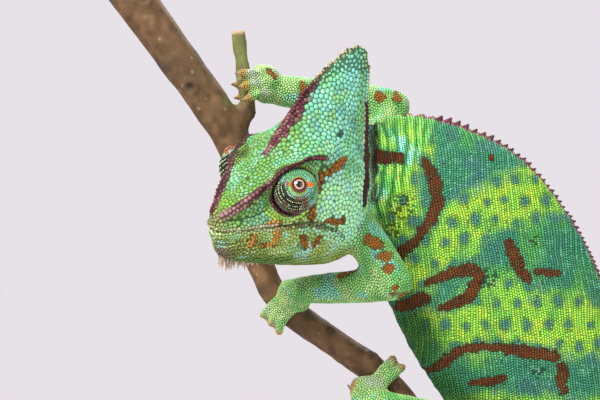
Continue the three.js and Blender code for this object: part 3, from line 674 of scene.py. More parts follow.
    def _foot(self, points: Array) -> Array:
        """Returns the colours of hands and feet, orange at the toes' tips."""
        fine = noise(points, 2.4, 51)
        ground = layers(
            Hue.LIMB, (Hue.PALE_LIMB, 1, 0.15, 0.5, fine), (Hue.LAVENDER, 0.5, 0.62, 0.78, noise(points, 3.4, 52)),
            (Hue.GREEN, 0.5, 0.6, 0.8, noise(points, 1.0, 53)),
        )
        near = np.min([away(points, root) for root in self.claw_roots], axis=0)
        tip = mix(Hue.PEACH, Hue.MAUVE, 0.4 * fine)
        return layers(self._blots(ground, points, self.LIMBS[-1:]), (tip, 0.85, 4.0, 1.8, near))

    def _tail(self, points: Array) -> Array:
        """Returns the tail's colours: bands across it."""
        wide, fine, tiny = noise(points, 6.0, 61), noise(points, 2.6, 62), noise(points, 1.1, 63)
        along = reach(points, self.tail_line)[1]
        band = 0.5 + 0.5 * np.sin(2 * np.pi * (13.5 * along**0.85 + 0.25 * (wide - 0.5)))
        band = band + 0.3 * (fine - 0.5) + 0.2 * (tiny - 0.5)
        return layers(
            Hue.TEAL, (Hue.GREEN, 1, 0.4, 0.7, wide), (mix(Hue.LIME, Hue.YELLOW, 0.6 * fine), 1, 0.25, 0.75, band),
            (mix(Hue.RUST, Hue.UMBER, tiny), 0.9, 0.10, 0.0, band),
        )


# --- shader maths
def operator(operation: str, swapped: bool = False) -> Callable[["Wire", Any], "Wire"]:
    """Returns a method that adds a Math node for a wire and a second value, or for the second value and the wire."""

    def method(self: "Wire", other: Any) -> "Wire":
        """Returns the node's result."""
        values = (other, self) if swapped else (self, other)
        return self.tree.add("ShaderNodeMath", {"operation": operation}, dict(enumerate(values)))

    return method


@dataclass(eq=False)
class Wire:
    """One output in a tree of nodes. Arithmetic on it adds Math nodes."""

    tree: "Tree"
    socket: bpy.types.NodeSocket

    __add__ = __radd__ = operator("ADD")
    __mul__ = __rmul__ = operator("MULTIPLY")
    __sub__, __rsub__ = operator("SUBTRACT"), operator("SUBTRACT", True)
    __truediv__, __rtruediv__ = operator("DIVIDE"), operator("DIVIDE", True)
    larger = operator("MAXIMUM")

    def step(self, low: float, high: float) -> "Wire":
        """Returns a smooth step of this value, 0 at low and 1 at high."""
        sockets = {"Value": self, "From Min": low, "From Max": high}
        return self.tree.add("ShaderNodeMapRange", {"interpolation_type": "SMOOTHSTEP"}, sockets)


class Tree:
    """A tree of shader nodes, and a way to add nodes to it."""

    def __init__(self, owner: Any) -> None:
        """Starts from the nodes that a new material or world has."""
        owner.use_nodes = True
        self.nodes = owner.node_tree.nodes
        self.links = owner.node_tree.links

    def add(self, kind: str, settings: dict[str, Any], sockets: dict[Any, Any], out: int | str = 0) -> Wire:
        """Adds a node.

        Args:
            kind: its type.
            settings: its properties, and a ramp's stops under "stops".
            sockets: values or wires for its inputs, by name or number.
            out: the output that is meant.

        Returns:
            The output.
        """
        node = self.nodes.new(kind)
        for key, value in settings.items():
            if key == "stops":
                self._stops(node.color_ramp, value)
            else:
                setattr(node, key, value)
        for key, value in sockets.items():
            self.plug(node.inputs[key], value)
        return Wire(self, node.outputs[out])

    @staticmethod
    def _stops(ramp: bpy.types.ColorRamp, stops: Sequence[tuple[float, Colour]]) -> None:
        """Sets a ramp's stops."""
        while len(ramp.elements) < len(stops):
            ramp.elements.new(1.0)
        for element, (position, colour) in zip(ramp.elements, stops):
            element.position = position
            element.color = (*colour, 1.0)

    def plug(self, socket: bpy.types.NodeSocket, value: Any) -> None:
        """Links a wire to a socket, or sets a plain value on it."""
        if isinstance(value, Wire):
            self.links.new(value.socket, socket)
        elif isinstance(value, tuple) and socket.type == "RGBA":
            socket.default_value = (*value, 1.0)
        else:
            socket.default_value = value


class Paint(Tree):
    """A material with a Principled shader."""

    def __init__(self, name: str, **constants: Any) -> None:
        """Makes the material and sets constants on its shader's own sockets."""
        self.material = bpy.data.materials.new(name)
        super().__init__(self.material)
        self.shader = self.nodes["Principled BSDF"]
        self.drive(**constants)

    def drive(self, **inputs: Any) -> None:
        """Links wires to the shader's inputs, or sets plain values on them."""
        for key, value in inputs.items():
            self.plug(self.shader.inputs[key.replace("_", " ")], value)

    def attribute(self, name: str) -> Wire:
        """Returns the colour of a mesh's own attribute."""
        return self.add("ShaderNodeAttribute", {"attribute_name": name}, {}, "Color")

    def place(self, scale: Sequence[float] | None = None) -> Wire:
        """Returns Object coordinates, drawn out along the axes by a scale if there is one."""
        place = self.add("ShaderNodeTexCoord", {}, {}, "Object")
        return self.add("ShaderNodeMapping", {}, {"Vector": place, "Scale": scale}) if scale else place

    def grain(self, scale: float, detail: float = 2.0, where: Wire | None = None) -> Wire:
        """Returns noise, with a scale in knots to the metre."""
        return self.add("ShaderNodeTexNoise", {}, {"Vector": where or self.place(), "Scale": scale, "Detail": detail})

    def blend(self, share: Any, first: Any, second: Any, how: str = "MIX") -> Wire:
        """Returns a Mix node's colour."""
        settings = {"data_type": "RGBA", "blend_type": how, "clamp_factor": True}
        return self.add("ShaderNodeMix", settings, {0: share, 6: first, 7: second}, 2)

    def vector(self, operation: str, *values: Any, out: int | str = 0) -> Wire:
        """Returns a Vector Math node's result."""
        return self.add("ShaderNodeVectorMath", {"operation": operation}, dict(enumerate(values)), out)

    def bump(self, height: Wire, strength: float, distance: float) -> Wire:
        """Returns a normal that height has bent."""
        return self.add("ShaderNodeBump", {}, {"Height": height, "Strength": strength, "Distance": distance})


# --- finishes
@dataclass(frozen=True)
class HideFinish:
    """Skin or scales, coloured by the mesh's own markings."""

    name: str
    roughness: float
    grain: float
    relief: float

    def make(self) -> Material:
        """Returns the material."""
        paint = Paint(self.name, Specular_IOR_Level=0.14, IOR=1.45)
        marks = paint.attribute("Markings")
        cloud = paint.grain(900.0, 3.0)
        fine = paint.grain(self.grain, 2.0)
        channels = {0: cloud * 0.3 + 0.86, 1: cloud * 0.26 + 0.87, 2: cloud * 0.3 + 0.85}
        tone = paint.add("ShaderNodeCombineColor", {}, channels)
        paint.drive(
            Base_Color=paint.blend(1.0, marks, tone, "MULTIPLY"),
            Roughness=fine * 0.22 + (self.roughness - 0.11),
            Normal=paint.bump(fine, 0.35, self.relief),
        )
        return paint.material


@dataclass(frozen=True)
class EyeFinish:
    """The eyeball: a dark pupil, a pale iris with fine rays, and a wet clear front."""

    name: str
    centre: Array
    gaze: Array
    pupil: float
    iris: float

    def make(self) -> Material:
        """Returns the material."""
        paint = Paint(self.name, Specular_IOR_Level=0.2, Coat_Weight=0.6, Coat_Roughness=0.03)
        spoke = paint.vector("SUBTRACT", paint.place(), tuple(PLACE.to_row(self.centre)))
        across = paint.vector("CROSS_PRODUCT", spoke, tuple(self.gaze))
        radius = paint.vector("LENGTH", across, out="Value") * (1 / MM)
        rays = paint.grain(2600.0, 3.0)
        hues = (0.34, 0.12, 0.05), (0.60, 0.34, 0.24), (0.54, 0.30, 0.22), (0.30, 0.08, 0.04)
        stops = tuple(zip((0.0, 0.3, 0.7, 1.0), hues))
        place = (radius - self.pupil) / (self.iris - self.pupil) + (rays - 0.5) * 0.35
        ring = paint.add("ShaderNodeValToRGB", {"stops": stops}, {0: place})
        eye = paint.blend(radius.step(self.pupil - 0.07, self.pupil + 0.07), (0.004, 0.003, 0.003), ring)
        white = radius.step(self.iris - 0.1, self.iris + 0.06)
        paint.drive(Base_Color=paint.blend(white, eye, (0.03, 0.012, 0.010)), Roughness=rays * 0.1 + 0.1)
        return paint.material


@dataclass(frozen=True)
class BarkFinish:
    """Smooth dull bark that the mesh's own tint carries, with small pale pores."""

    name: str

    def make(self) -> Material:
        """Returns the material."""
        paint = Paint(self.name, Specular_IOR_Level=0.25)
        tint = paint.attribute("Markings")
        coarse = paint.grain(190.0, 5.0)
        fine = paint.grain(1400.0, 4.0)
        pores = paint.add("ShaderNodeTexVoronoi", {"feature": "F1"}, {"Vector": paint.place(), "Scale": 210.0})
        dots = pores.step(0.17, 0.09)
        body = paint.blend(coarse.step(0.3, 0.7), (0.70, 0.66, 0.64), (1.25, 1.22, 1.18))
        dusty = paint.blend(1.0, tint, body, "MULTIPLY")
        paint.drive(
            Base_Color=paint.blend(dots * 0.28, dusty, (0.34, 0.27, 0.20)),
            Roughness=fine * 0.2 + 0.68,
            Normal=paint.bump(fine + dots * 0.6, 0.5, 0.0002),
        )
        return paint.material


@dataclass(frozen=True)
class WoodFinish:
    """Dark stained wood with long grain and a satin lacquer."""

    name: str
    dark: Colour
    light: Colour

    def make(self) -> Material:
        """Returns the material."""
        paint = Paint(self.name, Coat_Weight=0.35, Coat_Roughness=0.22)
        stretched = paint.place((0.08, 1.0, 1.0))
        warp = paint.grain(40.0, 3.0, stretched)
        settings = {"wave_type": "BANDS", "bands_direction": "Y"}
        sockets = {"Vector": stretched, "Scale": 55.0, "Distortion": 7.0, "Detail": 3.0, "Detail Scale": 1.5}
        lines = paint.add("ShaderNodeTexWave", settings, sockets, "Fac")
        pores = paint.grain(1500.0, 2.0, stretched)
        figure = lines * 0.6 + warp * 0.4
        paint.drive(
            Base_Color=paint.blend(figure.step(0.2, 0.85), self.dark, self.light),
            Roughness=pores * 0.25 + 0.3,
            Normal=paint.bump(pores, 0.25, 0.0001),
        )
        return paint.material


@dataclass(frozen=True)
class SteelFinish:
    """Blackened steel, drawn along its length."""

    name: str

    def make(self) -> Material:
        """Returns the material."""
        paint = Paint(self.name, Metallic=0.85)
        lines = paint.grain(3500.0, 3.0, paint.place((1.0, 1.0, 0.05)))
        smudge = paint.grain(120.0, 3.0)
        paint.drive(
            Base_Color=paint.blend(smudge, (0.035, 0.035, 0.038), (0.085, 0.085, 0.09)),
            Roughness=lines * 0.2 + smudge * 0.12 + 0.2,
            Normal=paint.bump(lines, 0.15, 0.00005),
        )
        return paint.material


# --- meshes
def link(name: str, data: Any) -> bpy.types.Object:
    """Returns a new object of the scene that shows the data."""
    piece = bpy.data.objects.new(name, data)
    bpy.context.scene.collection.objects.link(piece)
    return piece


def finish_object(mesh: Mesh, material: Material, node: str = "") -> bpy.types.Object:
    """Makes a mesh an object that rides with the part.

    Args:
        mesh: the mesh, in metres of the part's frame.
        material: its finish.
        node: the solid that it stands for, if it is one alone.

    Returns:
        The object.
    """
    mesh.materials.append(material)
    mesh.polygons.foreach_set("use_smooth", [True] * len(mesh.polygons))
    piece = link(mesh.name, mesh)
    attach(piece, "root")
    if node:
        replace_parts(piece, node)
    LOG.info("%s: %d faces", piece.name, len(mesh.polygons))
    return piece


def read(items: Any, name: str, width: int = 3, kind: type = np.float32) -> Array:
    """Returns one value of every item of a Blender list, a row for each."""
    flat = np.empty(len(items) * width, kind)
    items.foreach_get(name, flat)
    return flat.reshape(-1, width) if width > 1 else flat


def place_points(mesh: Mesh, points: Array) -> None:
    """Puts a mesh's points at places in millimetres of the model's frame."""
    mesh.vertices.foreach_set("co", PLACE.to_row(points).astype(np.float32).ravel())


def solid(node: str) -> BMesh:
    """Returns a copy of a solid of the frame, in millimetres of the model's frame."""
    part = bmesh.new()
    part.from_mesh(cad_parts[node].data)
    bmesh.ops.remove_doubles(part, verts=part.verts, dist=2e-6)
    for vert in part.verts:
        vert.co = Vector(PLACE.from_row(np.array(vert.co)))
    return part


def lathe(outline: Sequence[Sequence[float]], steps: int) -> BMesh:
    """Returns an outline, as radius and height, spun round the upright axis."""
    bm = bmesh.new()
    verts = [bm.verts.new((r, 0.0, z)) for r, z in outline]
    edges = [bm.edges.new(pair) for pair in zip(verts[:-1], verts[1:])]
    turn = {"cent": (0, 0, 0), "axis": (0, 0, 1), "angle": 2 * math.pi, "steps": steps}
    bmesh.ops.spin(bm, geom=verts + edges, use_merge=True, **turn)
    bmesh.ops.remove_doubles(bm, verts=bm.verts, dist=1e-4)
    return bm


def pose(side: Array, other: Array, axis: Array, origin: Array) -> Matrix:
    """Returns the matrix that lays x, y and z along three directions at an origin."""
    basis = Matrix((side, other, axis)).transposed().to_4x4()
    basis.translation = Vector(origin)
    return basis


def mesh_from(bm: BMesh, name: str) -> Mesh:
    """Turns a bmesh in millimetres into a mesh in metres, with its faces outwards."""
    for vert in bm.verts:
        vert.co = Vector(PLACE.to_row(np.array(vert.co)))
    bmesh.ops.recalc_face_normals(bm, faces=bm.faces)
    mesh = bpy.data.meshes.new(name)
    bm.to_mesh(mesh)
    bm.free()
    return mesh


def paint_points(mesh: Mesh, colours: Array) -> None:
    """Stores colours on a mesh's points as its markings."""
    layer = mesh.color_attributes.new(name="Markings", type="FLOAT_COLOR", domain="POINT")
    rgba = np.ones((len(mesh.vertices), 4), np.float32)
    rgba[:, :3] = colours
    layer.data.foreach_set("color", rgba.ravel())


@dataclass(frozen=True)
class Spike:
    """A cone found on a solid: which node it is on, its tip, and the way it points."""

    node: str
    tip: Array
    axis: Array


@dataclass
class Flesh:
    """Copies of the solids of flesh, with their cones taken off."""

    sharp_cone: float = math.radians(130)
    sharp_crest: float = math.radians(178)
    spikes: list[Spike] = field(default_factory=list)

    def gather(self, nodes: Iterable[str]) -> BMesh:
        """Joins copies of solids.

        Args:
            nodes: their names.

        Returns:
            One bmesh in millimetres, each solid grown a little so that neighbours meet.
        """
        whole = bmesh.new()
        for name in nodes:
            part = solid(name)
            self._flatten(part, name)
            part.normal_update()
            grown = [vert.co + vert.normal * FLESH_GROWTH for vert in part.verts]
            for vert, co in zip(part.verts, grown):
                vert.co = co
            mesh = bpy.data.meshes.new("part")
            part.to_mesh(mesh)
            part.free()
            whole.from_mesh(mesh)
            bpy.data.meshes.remove(mesh)
        return whole

    def _flatten(self, part: BMesh, name: str) -> None:
        """Finds the cones of a solid, keeps where they are, and presses each down to its root."""
        limit = self.sharp_crest if name in ("neck", "chest", "belly") else self.sharp_cone
        part.normal_update()
        tips = [vert for vert in part.verts if sum(loop.calc_angle() for loop in vert.link_loops) < limit]
        for vert in tips:
            self.spikes.append(Spike(name, np.array(vert.co), np.array(vert.normal)))
        for vert in tips:
            ring = [edge.other_vert(vert).co for edge in vert.link_edges]
            vert.co = sum(ring, Vector()) / len(ring)


class Sheet:
    """A mesh's points with their links, for smoothing and for reading shapes off it."""

    def __init__(self, mesh: Mesh) -> None:
        """Reads the mesh's points and edges, in the mesh's own units."""
        self.mesh = mesh
        self.count = len(mesh.vertices)
        self.points = read(mesh.vertices, "co").astype(float)
        first, second = read(mesh.edges, "vertices", 2, np.int32).T
        starts = np.concatenate([first, second])
        self.ends = np.concatenate([second, first])[np.argsort(starts, kind="stable")]
        self.degree = np.maximum(np.bincount(starts, minlength=self.count), 1)
        self.first = np.concatenate([[0], np.cumsum(self.degree)[:-1]])

    def spread(self, values: Array, rounds: int, share: Array | float = 1.0) -> Array:
        """Smooths values over the mesh.

        Args:
            values: one row for each point.
            rounds: how many times each point moves towards its neighbours' mean.
            share: how freely each point moves, from 0 to 1.

        Returns:
            The smoothed values.
        """
        pace = 0.5 * (share[:, None] if isinstance(share, np.ndarray) else share)
        for _ in range(rounds):
            mean = np.add.reduceat(values[self.ends], self.first, axis=0) / self.degree[:, None]
            values = values + pace * (mean - values)
        return values

    def polish(self, rounds: int, share: Array | float) -> None:
        """Smooths the shape and gives back most of what smoothing took away."""
        eased = self.spread(self.points, rounds, share)
        self.points = eased + self.spread(self.points - eased, rounds, share)

    def store(self) -> None:
        """Writes the points back to the mesh."""
        self.mesh.vertices.foreach_set("co", self.points.astype(np.float32).ravel())
        self.mesh.update()

    def normals(self) -> Array:
        """Returns the mesh's point normals."""
        return read(self.mesh.vertices, "normal").astype(float)

    def triangles(self) -> Array:
        """Returns the mesh's triangles."""
        self.mesh.calc_loop_triangles()
        return read(self.mesh.loop_triangles, "vertices", 3, np.int32)


def remesh(bm: BMesh, name: str, voxel: float) -> Mesh:
    """Joins overlapping solids in one even skin of squares.

    Args:
        bm: the solids, in millimetres.
        name: the new mesh's name.
        voxel: the size of its squares.

    Returns:
        The new mesh, in millimetres.
    """
    source = bpy.data.meshes.new(name + "_source")
    bm.to_mesh(source)
    bm.free()
    holder = link(name + "_source", source)
    skin = holder.modifiers.new("join", "REMESH")
    skin.mode, skin.voxel_size, skin.adaptivity = "VOXEL", voxel, 0.0
    graph = bpy.context.evaluated_depsgraph_get()
    made = bpy.data.meshes.new_from_object(holder.evaluated_get(graph), depsgraph=graph)
    bpy.data.objects.remove(holder)
    bpy.data.meshes.remove(source)
    made.name = name
    return made


# --- the skin
@dataclass
class Skin:
    """One skin over all the flesh, with the face's folds and ridges."""

    flesh: Flesh
    voxel: float = 0.9
    rounds: int = 90
    margin: float = 1.5  # mm round a solid's box in which points may be its own
    blending: int = 14  # rounds of smoothing between the regions
    shadow: float = 0.28  # how dark the skin is between scales

    def __post_init__(self) -> None:
        """Builds the skin's shape from the flesh."""
        self.sheet = Sheet(remesh(self.flesh.gather(NODES), "skin", self.voxel))
        LOG.info("skin: %d points", self.sheet.count)
        self._label()
        self.sheet.polish(self.rounds, self.weights @ TRAITS[:, 0])
        self.sheet.store()
        self._sculpt()
        self.sheet.store()

    def _label(self) -> None:
        """Finds the node and the blended Region weights of each point."""
        points = self.sheet.points
        best = np.full(len(points), np.inf)
        self.node = np.zeros(len(points), int)
        for index, name in enumerate(NODES):
            part = solid(name)
            tree = BVHTree.FromBMesh(part)
            part.free()
            low, high = PLACE.box(name)
            for i in np.flatnonzero(np.all((points > low - self.margin) & (points < high + self.margin), axis=1)):
                gap = tree.find_nearest(points[i])[3]
                if gap is not None and gap < best[i]:
                    best[i], self.node[i] = gap, index
        regions = np.array([FLESH[name].value for name in NODES])[self.node]
        self.weights = self.sheet.spread(np.eye(len(Region))[regions], self.blending)

    def share(self, *regions: Region) -> Array:
        """Returns how far each point belongs to any of the regions."""
        return self.weights[:, [region.value for region in regions]].sum(1)

    def _sculpt(self) -> None:
        """Moves the skin in by the coat's depth and shapes ridges, folds and the mouth."""
        points = self.sheet.points
        lift = np.full(len(points), -(FLESH_GROWTH + COAT_DEPTH))
        for regions, form in (
            ((Region.HEAD, Region.JAW), lambda near, share: self._features(near) * np.minimum(1, 1.2 * share)),
            ((Region.NECK,), lambda near, share: 0.5 * share * neck_folds(near)),
            ((Region.TRUNK,), lambda near, share: 0.1 * share * self._ribs(near)),
        ):
            share = self.share(*regions)
            near = np.flatnonzero(share > 0.02)
            lift[near] += form(points[near], share[near])
        self.sheet.points = points + lift[:, None] * self.sheet.normals()

    @staticmethod
    def _ribs(points: Array) -> Array:
        """Returns how the ribs lift points of the flank, from -1 to 1."""
        x, _, z = points.T
        return np.sin(2 * np.pi * (0.55 * x - 0.84 * z + 2.5 * noise(points, 22.0, 72)) / 7.5)

    @staticmethod
    def _features(points: Array) -> Array:
        """Returns how far ridges, the fold round the eye, lips and nostril rise or sink at points of the face."""
        local = HEAD.local(points)
        crest, along = reach(local, CANTHAL)
        rise = (0.6 * bell(crest, 0, 1.4) - 0.25 * bell(crest, 2.6, 0.9)) * smooth(1.0, 0.75, along)
        orbit, pit = away(local, ORBIT_CENTRE), away(local, NOSTRIL)
        mouth = reach(local, MOUTH)[0]
        rise += 0.3 * bell(reach(local, PARIETAL)[0], 0, 1.6) + 0.3 * bell(reach(local, CASQUE_REAR)[0], 0, 1.2)
        rise += 0.6 * bell(orbit, 8.3, 0.75) - 0.45 * bell(orbit, 9.9, 0.8)
        rise += 0.35 * bell(mouth, 1.7, 0.9) - 0.8 * bell(mouth, 0, 0.8)
        for crease in CREASES:
            rise -= 0.3 * bell(reach(local, crease)[0], 0, 0.8)
        return rise + 0.35 * bell(pit, 1.7, 0.7) - 0.9 * bell(pit, 0, 0.9)

    def dress(self, markings: Markings) -> None:
        """Colours the skin, dark as it shows between scales, and stands it for the solids of flesh."""
        mesh = self.sheet.mesh
        paint_points(mesh, self.shadow * markings.colour(self.sheet.points, self.weights))
        place_points(mesh, self.sheet.points)
        mesh.update()
        piece = finish_object(mesh, HideFinish("hide_between_scales", 0.65, 4200.0, 0.0001).make())
        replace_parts(piece, *NODES)


# --- scales
@dataclass
class Bed:
    """Places where scales root, with what each scale is like."""

    points: Array
    normals: Array
    pitch: Array
    height: Array
    colour: Array
    node: Array
    peak: Array

    def part(self, chosen: Array) -> "Bed":
        """Returns the chosen scales only."""
        return Bed(*(getattr(self, name)[chosen] for name in self.__dataclass_fields__))


@dataclass
class Scatter:
    """Spreads scale roots over the skin, evenly but for their changing size, round fixed rows of them."""

    skin: Skin
    pitch: Array
    rounds: int = 8
    room: float = 0.54  # the room that two roots want, as a share of both pitches
    stride: float = 0.42  # how far a push goes
    row_room: float = 0.42  # the room between roots in rows
    free_room: tuple[float, float] = (0.5, 0.1)  # the room from one in a row to a free one, by each one's pitch
    ahead: float = 0.3  # mm along a row that tell its direction
    packing: float = 0.866  # a root's area for a pitch of 1

    def __post_init__(self) -> None:
        """Reads the skin's shape and how far scales form columns on it."""
        sheet = self.skin.sheet
        self.comb = self.skin.share(Region.NECK, Region.TRUNK) * (0.25 + noise(sheet.points, 5.0, 77))
        self.faces, self.points, self.normals = sheet.triangles(), sheet.points, sheet.normals()
        self.random = np.random.default_rng(SEED)
        self.tree = BVHTree.FromPolygons(self.points.tolist(), self.faces.tolist())
        self.fixed = np.zeros((0, 3))
        self.kinds: list[Row] = []

    def line_up(self, rows: Iterable[Row]) -> None:
        """Fixes the roots of scales that lie in rows, on both sides of the face."""
        found: list[tuple[Array, Row]] = []
        for row in rows:
            middle = float(np.abs(row.line[:, 1]).max()) < 1e-6
            for side in (1,) if middle else (1, -1):
                line = HEAD.world(row.line * (1, side, 1))
                length = travelled(line)[-1]
                count = max(2, int(length / row.step))
                for number, offset in enumerate(row.offsets):
                    at = (np.arange(count) + 0.25 + 0.5 * (number % 2)) / count * length
                    after = along_line(line, at + self.ahead)
                    for share, spot, ahead in zip(at / length, along_line(line, at), after):
                        place, normal, _, _ = self.tree.find_nearest(spot)
                        across = unit(np.cross(normal, ahead - spot)) * side * offset * row.width(share)
                        found.append((np.array(self.tree.find_nearest(np.array(place) + across)[0]), row))
        places = np.array([place for place, _ in found])
        sizes = np.array([row.size for _, row in found])
        keep: list[int] = []
        for i, place in enumerate(places):
            if not np.any(away(places[keep], place) < self.row_room * (sizes[keep] + sizes[i])):
                keep.append(i)
        self.fixed = places[keep]
        self.kinds = [found[i][1] for i in keep]

    def roots(self) -> tuple[Array, Array, Array, Array]:
        """Spreads the roots.

        Returns:
            The roots with the fixed ones first, each one's scale size, its face, and its shares of the corners.
        """
        corners = self.points[self.faces]
        area = 0.5 * np.linalg.norm(np.cross(corners[:, 1] - corners[:, 0], corners[:, 2] - corners[:, 0]), axis=1)
        total = np.cumsum(area / (self.packing * self.pitch[self.faces].mean(1) ** 2))
        count = int(total[-1])
        face = np.searchsorted(total, (np.arange(count) + self.random.random(count)) / count * total[-1])
        face = np.minimum(face, len(self.faces) - 1)
        shares = self.random.dirichlet((1, 1, 1), count)
        roots = np.einsum("nk,nkd->nd", shares, corners[face])
        sizes = np.array([row.size for row in self.kinds])
        roots = np.concatenate([self.fixed, roots[self._clear(roots, self.read(self.pitch, face, shares), sizes)]])
        for _ in range(self.rounds):
            roots, face, shares = self._land(roots)
            pitch = self.read(self.pitch, face, shares)
            pitch[: len(sizes)] = sizes
            moved = self._push(roots, pitch)
            off = columns(moved) / COLUMN
            moved[:, 0] -= self.read(self.comb, face, shares) * (off - np.round(off)) * COLUMN
            roots = np.concatenate([self.fixed, moved[len(sizes) :]])
        roots, face, shares = self._land(roots)
        return roots, pitch, face, shares

    def _clear(self, roots: Array, pitch: Array, sizes: Array) -> Array:
        """Returns which free roots stand clear of the fixed ones."""
        low, high = self.fixed.min(0) - 2, self.fixed.max(0) + 2
        clear, (fixed, free) = np.ones(len(roots), bool), self.free_room
        for i in np.flatnonzero(np.all((roots > low) & (roots < high), axis=1)):
            clear[i] = not np.any(away(self.fixed, roots[i]) < fixed * sizes + free * pitch[i])
        return clear

    def _push(self, roots: Array, pitch: Array) -> Array:
        """Returns the roots pushed away from those too near."""
        near = neighbours(roots, 8)
        gap = roots[:, None] - roots[near]
        distance = np.maximum(np.linalg.norm(gap, axis=2), 1e-6)
        push = np.clip(self.room * (pitch[:, None] + pitch[near]) - distance, 0, None) / distance
        return roots + self.stride * (gap * push[..., None]).sum(1)

    def _land(self, roots: Array) -> tuple[Array, Array, Array]:
        """Returns the roots back on the skin, the face that each is on, and its shares of the face's corners."""
        landed = [self.tree.find_nearest(root) for root in roots.tolist()]
        roots, face = np.array([tuple(hit[0]) for hit in landed]), np.array([hit[2] for hit in landed])
        a, b, c = self.points[self.faces[face]].transpose(1, 0, 2)
        ab, ac, ap = b - a, c - a, roots - a
        bb, bc, cc, pb, pc = ((u * v).sum(1) for u, v in ((ab, ab), (ab, ac), (ac, ac), (ap, ab), (ap, ac)))
        scale = np.maximum(bb * cc - bc * bc, 1e-12)
        second = np.clip((cc * pb - bc * pc) / scale, 0, 1)
        third = np.clip((bb * pc - bc * pb) / scale, 0, 1)
        shares = np.stack([np.clip(1 - second - third, 0, 1), second, third], axis=1)
        return roots, face, shares / shares.sum(1, keepdims=True)

    def read(self, values: Array, face: Array, shares: Array) -> Array:
        """Returns values of the skin's points at the roots."""
        return np.einsum("nk,nk...->n...", shares, values[self.faces[face]])


def neighbours(points: Array, count: int) -> Array:
    """Returns the numbers of each point's nearest neighbours, without the point itself."""
    tree = KDTree(len(points))
    listed = points.tolist()
    for i, point in enumerate(listed):
        tree.insert(point, i)
    tree.balance()
    return np.array([[hit[1] for hit in tree.find_n(point, count + 1)][1:] for point in listed])


# Rings of a plate: width share, rise and tone; the tone is painted shade, darker at the rim and lighter inward.
FINE_RINGS = ((1.0, -0.5, 0.34), (0.95, 0.4, 0.66), (0.80, 0.88, 1.0))
LIGHT_RINGS = ((1.0, -0.5, 0.42), (0.74, 0.72, 0.98))


@dataclass(frozen=True)
class PlateCut:
    """How scales are cut: sides, the gap between them and between columns, and the rings' width, rise and tone (painted
    shade).
    """

    sides: int
    gap: float = 0.06
    groove: float = 0.0
    rings: tuple[tuple[float, float, float], ...] = LIGHT_RINGS


